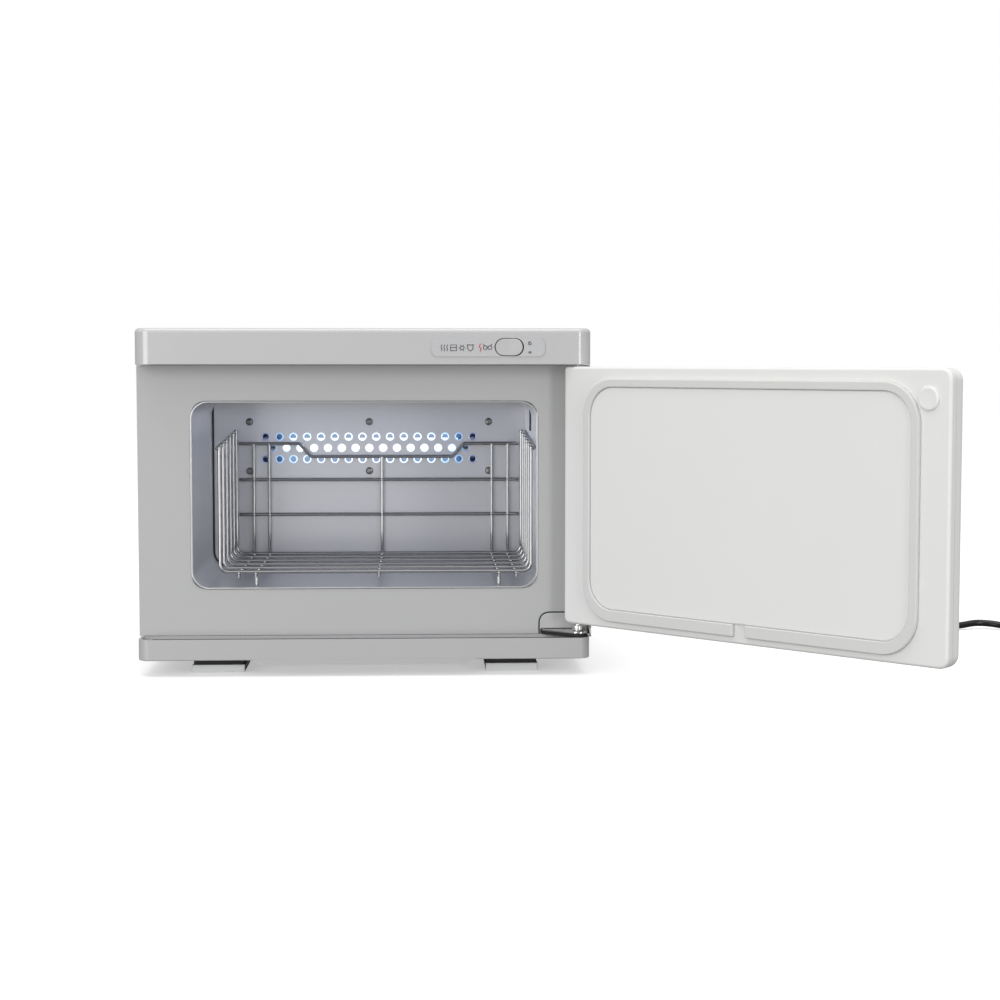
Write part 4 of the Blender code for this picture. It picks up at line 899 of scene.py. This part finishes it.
def build_lower_hinge():
    low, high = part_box("lower_hinge_block")
    outline = rounded_outline([(low.x, low.z), (low.x, high.z), (high.x, high.z), (high.x, low.z)],
        [0, 8.5 * MM, 0.6 * MM, 0], 10)
    plate = extruded(outline, low.y, high.y, "Y")
    piece("lower_hinge_plate", plate, SHADED_PAINT, stands_for="lower_hinge_block", edge=0.7, segments=4)
    # Painted shade: a dark wire round the plate stands for the shadowed gap around it.
    groove = rounded_outline([(low.x - 0.5 * MM, low.z), (low.x - 0.5 * MM, high.z + 0.5 * MM),
        (high.x, high.z + 0.5 * MM)], [0, 9 * MM, 0], 10)
    wires("lower_hinge_gap_shade", [[Vector((x, FRONT - 0.15 * MM, z)) for x, z in groove]], 0.55 * MM,
        DARK_LINE_SHADE, resolution=3)
    hinge_leaf("lower", 138.5 * MM, 8.2 * MM, 16, BRIGHT)
    low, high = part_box("lower_hinge_leaf")
    # Painted shade: a black pad under the leaf stands for the shadow beneath it.
    pad = extruded([(138.5 * MM, high.y - 0.3 * MM), *arc(HINGE, 7.0 * MM, -120, 0, 16),
        (HINGE.x + 7.0 * MM, high.y)], TABLE + 28.9 * MM, low.z - 0.05 * MM, "Z")
    piece("lower_hinge_shadow_pad", pad, RUBBER_AND_SHADE, edge=0.3, cuts=[pin_line(TABLE, TABLE + 0.05, 2.8 * MM)])
    # Painted shade: a black strip behind the leaf stands for the shadow there.
    back_pad = rounded_box((137.3 * MM, high.y + 0.05 * MM, TABLE + 29.3 * MM),
        (172.0 * MM, high.y + 0.35 * MM, TABLE + 33.6 * MM), 1.5 * MM, 3, "Y")
    piece("lower_hinge_back_shadow_strip", back_pad, RUBBER_AND_SHADE)
    flange = rounded_box((HINGE.x + 8.9 * MM, FRONT - 20 * MM, TABLE + 28.9 * MM),
        (HINGE.x + 10.2 * MM, FRONT - 0.3 * MM, TABLE + 37.6 * MM), 1.5 * MM, 3, "X")
    piece("lower_hinge_flange", flange, STEEL, edge=0.25)
    low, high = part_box("lower_hinge_pin")
    size = high.z - low.z
    collar_low, collar_high = (33.5 - 30.6) * MM / size, (37.5 - 30.6) * MM / size
    pin = turned((HINGE.x, HINGE.y, low.z), (HINGE.x, HINGE.y, high.z),
        [(0.0, 2.1 * MM), (0.02, 2.5 * MM), (collar_low - 0.001, 2.5 * MM), (collar_low, 4.1 * MM),
        (collar_low + 0.03, 4.4 * MM), (collar_high - 0.03, 4.4 * MM), (collar_high, 4.1 * MM),
        (collar_high + 0.001, 2.5 * MM), (0.97, 2.5 * MM), (1.0, 1.9 * MM)])
    piece("lower_hinge_pivot", pin, STEEL, stands_for="lower_hinge_pin", smooth=40)


def build_upper_hinge():
    hinge_leaf("upper", 140.5 * MM, 5.5 * MM, 14, STEEL)
    low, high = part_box("upper_hinge_pin")
    size = high.z - low.z
    head = 1 - 2.5 * MM / size
    pin = turned((HINGE.x, HINGE.y, low.z), (HINGE.x, HINGE.y, high.z),
        [(0.0, 1.9 * MM), (0.03, 2.5 * MM), (head - 0.001, 2.5 * MM), (head, 4.3 * MM),
        (0.94, 4.4 * MM), (1.0, 3.9 * MM)])
    piece("upper_hinge_pivot", pin, STEEL, stands_for="upper_hinge_pin", smooth=40)


DOOR_LENGTH = 338.0 * MM
DOOR_HEEL = 5.8 * MM
DOOR_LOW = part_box("door_outer_panel")[0].z
DOOR_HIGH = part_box("door_outer_panel")[1].z
DOOR_OUTER, DOOR_SPLIT, DOOR_INNER = -9.5 * MM, 4.0 * MM, 10.0 * MM
FIELD_RISE = 2.0 * MM
SEAL_NEAR, SEAL_FAR = 23.0 * MM, 309.0 * MM
SEAL_LOW, SEAL_HIGH = TABLE + 54.3 * MM, TABLE + 223.6 * MM
SEAL_WIDTH, SEAL_FOOT = 6.3 * MM, 9.0 * MM
SEAL_TOP = 13.4 * MM


def ring_box(grow, foot, y0, y1, segments=10):
    """The gasket's outline, grown outwards by one width and at the foot by another."""
    return rounded_box((-SEAL_FAR - grow, y0, SEAL_LOW - foot),
        (-SEAL_NEAR + grow, y1, SEAL_HIGH + grow), 22 * MM + grow, segments, "Y")


def bush_wells():
    return [cylinder((0, 0, end - way * 0.01), (0, 0, end + way * 12.3 * MM), 4.8 * MM) for end,
        way in ((DOOR_LOW, 1), (DOOR_HIGH, -1))]


def build_door():
    far = -DOOR_LENGTH
    wall = 2.5 * MM
    outer = rounded_box((far, DOOR_OUTER, DOOR_LOW), (DOOR_HEEL, DOOR_OUTER + 40 * MM, DOOR_HIGH),
        8.5 * MM, 9)
    cut = bmesh.ops.bisect_plane(outer, geom=outer.verts[:] + outer.edges[:] + outer.faces[:],
        plane_co=(0, DOOR_SPLIT - 0.3 * MM, 0), plane_no=(0, 1, 0), clear_outer=True)
    bmesh.ops.edgeloop_fill(outer, edges=[e for e in cut["geom_cut"] if isinstance(e,
        bmesh.types.BMEdge)])
    hollow = rounded_box((far + wall, DOOR_OUTER + wall, DOOR_LOW + wall),
        (-10 * MM, DOOR_SPLIT + 0.01, DOOR_HIGH - wall), 5 * MM, 4)
    piece("door_outer_shell", outer, DOOR_WHITE, "door", "door_outer_panel",
        cuts=[hollow, *bush_wells()], edge=0.25, matrix=DOOR)
    outline = rounded_outline([(far, DOOR_LOW), (far, DOOR_HIGH), (DOOR_HEEL, DOOR_HIGH),
        (DOOR_HEEL, DOOR_LOW)], [8.5 * MM, 8.5 * MM, 3 * MM, 6 * MM], 9)
    inner = extruded(outline, DOOR_SPLIT, DOOR_INNER, "Y")
    soften(inner, 5.6 * MM, 7, lambda co: co.y > DOOR_INNER - 1e-5 and co.x > DOOR_HEEL - 1e-5)
    soften(inner, 2.6 * MM, 6, lambda co: co.y > DOOR_INNER - 1e-5)
    field = ring_box(-0.05 * MM, -0.05 * MM, DOOR_INNER - 1 * MM, DOOR_INNER + FIELD_RISE, 10)
    soften(field, 1.2 * MM, 4, lambda co: co.y > DOOR_INNER + FIELD_RISE - 1e-5)
    inner_hollow = rounded_box((far + wall, DOOR_SPLIT - 0.01, DOOR_LOW + wall),
        (-10 * MM, DOOR_INNER - wall, DOOR_HIGH - wall), 3 * MM, 3, "Y")
    piece("door_inner_shell", inner, DOOR_WHITE, "door", "door_inner_panel", joins=[field],
        cuts=[inner_hollow, *bush_wells()], edge=0.2, matrix=DOOR)
    ring = ring_box(SEAL_WIDTH, SEAL_FOOT, DOOR_INNER + 0.1 * MM, SEAL_TOP, 12)
    hole = ring_box(0.0, 0.0, DOOR_INNER - 0.01, SEAL_TOP + 0.01, 12)
    gap = rounded_box((-172.5 * MM, DOOR_INNER - 0.01, SEAL_LOW - 0.02),
        (-161.5 * MM, SEAL_TOP + 0.01, SEAL_LOW + 0.005))
    piece("door_seal_ring", ring, GASKET, "door", "door_gasket", cuts=[hole, gap], edge=0.9,
        segments=4, matrix=DOOR)
    s, z = -320.8 * MM, TABLE + 218.8 * MM
    boss = turned((s, DOOR_INNER + 0.1 * MM, z), (s, DOOR_INNER + 1.7 * MM, z),
        [(0.0, 8.2 * MM), (0.45, 8.2 * MM), (0.75, 7.9 * MM), (0.92, 7.2 * MM), (0.97, 6.4 * MM),
        (0.975, 5.9 * MM), (0.9, 5.6 * MM), (0.9, 0.6 * MM)], 48)
    piece("door_magnet_boss", boss, DOOR_WHITE, "door", "door_magnet", smooth=40, matrix=DOOR)
    for name, end, way in (("lower", DOOR_LOW, 1), ("upper", DOOR_HIGH, -1)):
        bush = turned((0, 0, end - way * 1 * MM), (0, 0, end + way * 12 * MM),
            [(0.0, 4.1 * MM), (0.03, 4.5 * MM), (0.95, 4.5 * MM), (1.0, 4.1 * MM)])
        bore = cylinder((0, 0, end - way * 0.01), (0, 0, end + way * 10 * MM), 2.6 * MM)
        piece(f"door_bush_{name}_sleeve", bush, BUSH, "door", f"door_bush_{name}", cuts=[bore],
            edge=0.15, matrix=DOOR)


# Basket

WIRE = 1.4 * MM
BASKET_LEFT, BASKET_RIGHT, BASKET_FLOOR = -113.5, 130.2, 78.0
HOOP_Y = [6.0 + 30.0 * i for i in range(6)]
ROD_X = (-98.9, -85.7, 10.7, 105.1, 118.8)


def rail_height(y):
    return 175.0 + 7.5 * (y - HOOP_Y[0]) / (HOOP_Y[-1] - HOOP_Y[0])


def build_basket():
    """Six bent hoops, floor rods with turned-down ends, side rails, the back grid and stub feet."""
    hoops = []
    for y in HOOP_Y:
        top = rail_height(y) + 1
        left = arc((BASKET_LEFT + 6, BASKET_FLOOR + 6), 6, 180, 270, 8)
        right = arc((BASKET_RIGHT - 6, BASKET_FLOOR + 6), 6, 270, 360, 8)
        hoops.append([at(BASKET_LEFT, y, top), *[at(a, y, b) for a, b in left],
            *[at(a, y, b) for a, b in right], at(BASKET_RIGHT, y, top)])
    wires("basket_hoops", hoops, WIRE, CHROME, "basket", ["basket_left_side", "basket_right_side"])
    rods = []
    for x in ROD_X:
        under = BASKET_FLOOR - 2.4
        bend = [(HOOP_Y[0] - 1.2, under), (HOOP_Y[0] - 2.2, under - 0.5),
            (HOOP_Y[0] - 2.4, under - 1.6)]
        rods.append([at(x, HOOP_Y[-1] + 0.4, under), *[at(x, y, z) for y, z in bend]])
    for x in (ROD_X[1], ROD_X[3]):
        for y in (HOOP_Y[0] + 6, HOOP_Y[-1] - 10):
            rods.append([at(x, y, 67.0), at(x, y, BASKET_FLOOR - 2.4)])
    wires("basket_rods", rods, WIRE, CHROME, "basket", "basket_floor")
    rails = []
    for x in (BASKET_LEFT - 1.9, BASKET_RIGHT + 1.9):
        rails.append([at(x, HOOP_Y[0] - 2.1, rail_height(HOOP_Y[0])),
            at(x, HOOP_Y[-1] + 1.2, rail_height(HOOP_Y[-1]))])
    wires("basket_rails", rails, WIRE, CHROME, "basket")
    left, right, back = BASKET_LEFT + 2, BASKET_RIGHT - 2, 158.0
    step = rounded_outline([(left, 172.3), (-60, 172.3), (-50, 161.2), (71, 161.2), (81, 172.3),
        (right, 172.3)], [0, 4, 4, 4, 4, 0], 5)
    grid = [[at(x, back, z) for x, z in step]]
    for z in (141.4, 111.5):
        grid.append([at(left, back, z), at(right, back, z)])
    for x in ROD_X:
        reach = 161.2 if x == ROD_X[2] else 172.3
        grid.append([at(x, back, BASKET_FLOOR + 1.5), at(x, back, reach)])
    wires("basket_back_grid", grid, WIRE, CHROME, "basket", "basket_back")
    welds = []
    spots = [(x, y, BASKET_FLOOR - 1.2) for x in ROD_X for y in HOOP_Y]
    spots += [(x, y, rail_height(y)) for x in (BASKET_LEFT - 1.0, BASKET_RIGHT + 1.0) for y in HOOP_Y]
    spots += [(x, back, z) for x in ROD_X for z in (141.4, 111.5)]
    for x, y, z in spots:
        blob = bmesh.new()
        bmesh.ops.create_icosphere(blob, subdivisions=2, radius=1.7 * MM)
        bmesh.ops.translate(blob, vec=at(x, y, z), verts=blob.verts)
        welds.append(blob)
    piece("basket_welds", merged(*welds), CHROME, "basket")


# Cord


def build_cord():
    inlet = middle_of("strain_relief")
    inlet.y = BACK
    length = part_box("strain_relief")[1].y - BACK
    profile = [(-0.18, 5.9), (-0.02, 5.9), (-0.015, 6.2)]
    for i in range(6):
        share = 0.12 + i * 0.14
        size = 6.2 - 2.2 * share
        profile += [(share - 0.035, size), (share - 0.03, size - 0.9), (share + 0.02, size - 0.9),
            (share + 0.025, size)]
    profile += [(0.96, 4.0), (1.0, 3.7)]
    end = inlet + Vector((0, length, 0))
    sleeve = turned(inlet, end, [(share, r * MM) for share, r in profile])
    bore = cylinder(end - Vector((0, 6 * MM, 0)), end + Vector((0, 1 * MM, 0)), 3.15 * MM)
    relief = piece("strain_relief_sleeve", sleeve, BLACK, stands_for="strain_relief", cuts=[bore],
        edge=0.12, smooth=45)
    plug_low, plug_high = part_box("plug_body")
    px, py = (plug_low.x + plug_high.x) / 2, plug_low.y
    pz = middle_of("plug_pin_left").z
    coil = coil_points()
    route = smooth_route([at(*p) for p in CORD_ROUTE] + coil + lead_to_plug(coil, px, py + 2 * MM, pz),
        4)
    cord = wires("power_cord_lead", [route], CORD_DIAMETER / 2, CORD_PVC,
        stands_for=["power_cord", "cord_coil"], resolution=5)
    length = sum((b - a).length for a, b in zip(route, route[1:]))
    body = rounded_box((px - 13 * MM, py, pz - 8 * MM), (px + 13 * MM, plug_high.y, pz + 8 * MM),
        5 * MM, 7)
    long = plug_high.y - py
    for share in (0.3, 0.6):
        bmesh.ops.bisect_plane(body, geom=body.verts[:] + body.edges[:] + body.faces[:],
            plane_co=(0, py + share * long, 0), plane_no=(0, 1, 0))
    for vertex in body.verts:
        share = min(max((vertex.co.y - py) / (0.6 * long), 0.0), 1.0)
        vertex.co.x = px + (vertex.co.x - px) * (0.42 + 0.58 * ease(0, 1, share))
        vertex.co.z = pz + (vertex.co.z - pz) * (0.5 + 0.5 * share)
    grips = [rounded_box((px + s * 13 * MM - 0.8 * MM, py + (19 + 3 * i) * MM, pz - 5 * MM),
        (px + s * 13 * MM + 0.8 * MM, py + (20.2 + 3 * i) * MM, pz + 5 * MM)) for s in (-1,
        1) for i in range(4)]
    plug = piece("plug_moulding", body, BLACK, stands_for="plug_body", cuts=[merged(*grips)],
        edge=0.2, smooth=45)
    for name in ("left", "right"):
        lo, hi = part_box(f"plug_pin_{name}")
        x, r = (lo.x + hi.x) / 2, (hi.x - lo.x) / 2
        sleeve = turned((x, lo.y - 1 * MM, pz), (x, lo.y + 8 * MM, pz),
            [(0, r * 0.98), (0.9, r * 0.98), (1.0, r * 0.9)])
        piece(f"plug_pin_{name}_sleeve", sleeve, BLACK)
        pin = turned((x, lo.y + 7 * MM, pz), (x, hi.y, pz), [(0, r * 0.88), (0.8, r * 0.88),
            (0.92, r * 0.75), (1.0, r * 0.4)])
        piece(f"plug_pin_{name}_metal", pin, CHROME, stands_for=f"plug_pin_{name}")
    low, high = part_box("cord_coil")
    centre = (low + high) / 2
    across, up = Vector((math.cos(1.9), math.sin(1.9), 0)), Vector((0, 0, 1))
    middle = centre + across * ((high.x - low.x) / 2 - 6.1 * MM)
    middle.z = TABLE + 6.2 * MM
    strap = [middle + across * a * MM + up * b * MM for a, b in rounded_outline([(-6.7, -5.9),
        (-6.7, 6.7), (6.7, 6.7), (6.7, -5.9)], [2.6] * 4, 6)]
    tie = wires("cord_tie", [strap, strap[6:9] + [strap[8] + across * 6 * MM + up * 1.5 * MM]],
        0.5 * MM, BLACK, resolution=3)


# Stage


LIGHT_BELOW, LIGHT_ABOVE = 0.24, 0.84


def area_light(name, place, target, size, power, colour=(1, 1, 1)):
    data = bpy.data.lights.new(name, "AREA")
    data.shape = "RECTANGLE"
    data.size, data.size_y = size
    data.energy = power
    data.color = colour
    lamp = bpy.data.objects.new(name, data)
    bpy.context.scene.collection.objects.link(lamp)
    lamp.location = place
    lamp.rotation_euler = (Vector(target) - Vector(place)).to_track_quat("-Z", "Y").to_euler()
    return lamp


def build_stage():
    scene = bpy.context.scene
    scene.view_settings.view_transform = "Standard"
    scene.view_settings.look = "None"
    world = bpy.data.worlds.new("studio")
    scene.world = world
    world.use_nodes = True
    nodes, join = world.node_tree.nodes, world.node_tree.links.new
    seen = nodes["Background"]
    seen.inputs["Color"].default_value = (1, 1, 1, 1)
    seen.inputs["Strength"].default_value = 1.0
    lighting = add_node(world.node_tree, "Background", Color=(1, 1, 1, 1))
    split = add_node(world.node_tree, "SeparateXYZ")
    ramp = add_node(world.node_tree, "MapRange", From_Min=-0.35, From_Max=0.75, To_Min=LIGHT_BELOW,
        To_Max=LIGHT_ABOVE)
    mix = add_node(world.node_tree, "MixShader")
    join(add_node(world.node_tree, "TexCoord").outputs["Generated"], split.inputs["Vector"])
    join(split.outputs["Z"], ramp.inputs["Value"])
    join(ramp.outputs["Result"], lighting.inputs["Strength"])
    join(add_node(world.node_tree, "LightPath").outputs["Is Camera Ray"], mix.inputs["Fac"])
    join(lighting.outputs["Background"], mix.inputs[1])
    join(seen.outputs["Background"], mix.inputs[2])
    join(mix.outputs["Shader"], nodes["World Output"].inputs["Surface"])
    area_light("top", (0.0, -0.3, 2.2), (0.0, 0.0, 0.1), (2.2, 1.6), 20.0)
    area_light("panel_left", (-1.2, -2.0, 0.4), (-0.1, -0.1, 0.2), (1.4, 1.6), 24.0)
    area_light("panel_right", (1.25, -2.0, 0.35), (0.15, -0.1, 0.2), (0.45, 1.5), 11.0)
    glow = area_light("chamber_glow", at(0, 80, 208), at(0, 80, 60), (0.24, 0.13), 0.19,
        (0.6, 0.63, 1.0))
    glow.visible_glossy = False
    glow.visible_camera = False
    plane = bmesh.new()
    bmesh.ops.create_grid(plane, x_segments=1, y_segments=1, size=15.0)
    bmesh.ops.translate(plane, vec=(0, 0, TABLE - 0.4 * MM), verts=plane.verts)
    floor = mesh_object("floor", plane, FLOOR)
    for rays in ("diffuse", "glossy", "transmission", "shadow"):
        setattr(floor, f"visible_{rays}", False)


build_camera()
build_cord()
build_front_frame()
build_outer_case()
build_back_panel()
build_top_cover()
build_overlay()
build_switch()
build_liner()
build_liner_back()
build_lamp()
build_lamp_housing()
build_inner_parts()
build_base()
build_drip_tray()
build_feet()
build_lower_hinge()
build_upper_hinge()
build_door()
build_basket()
build_stage()
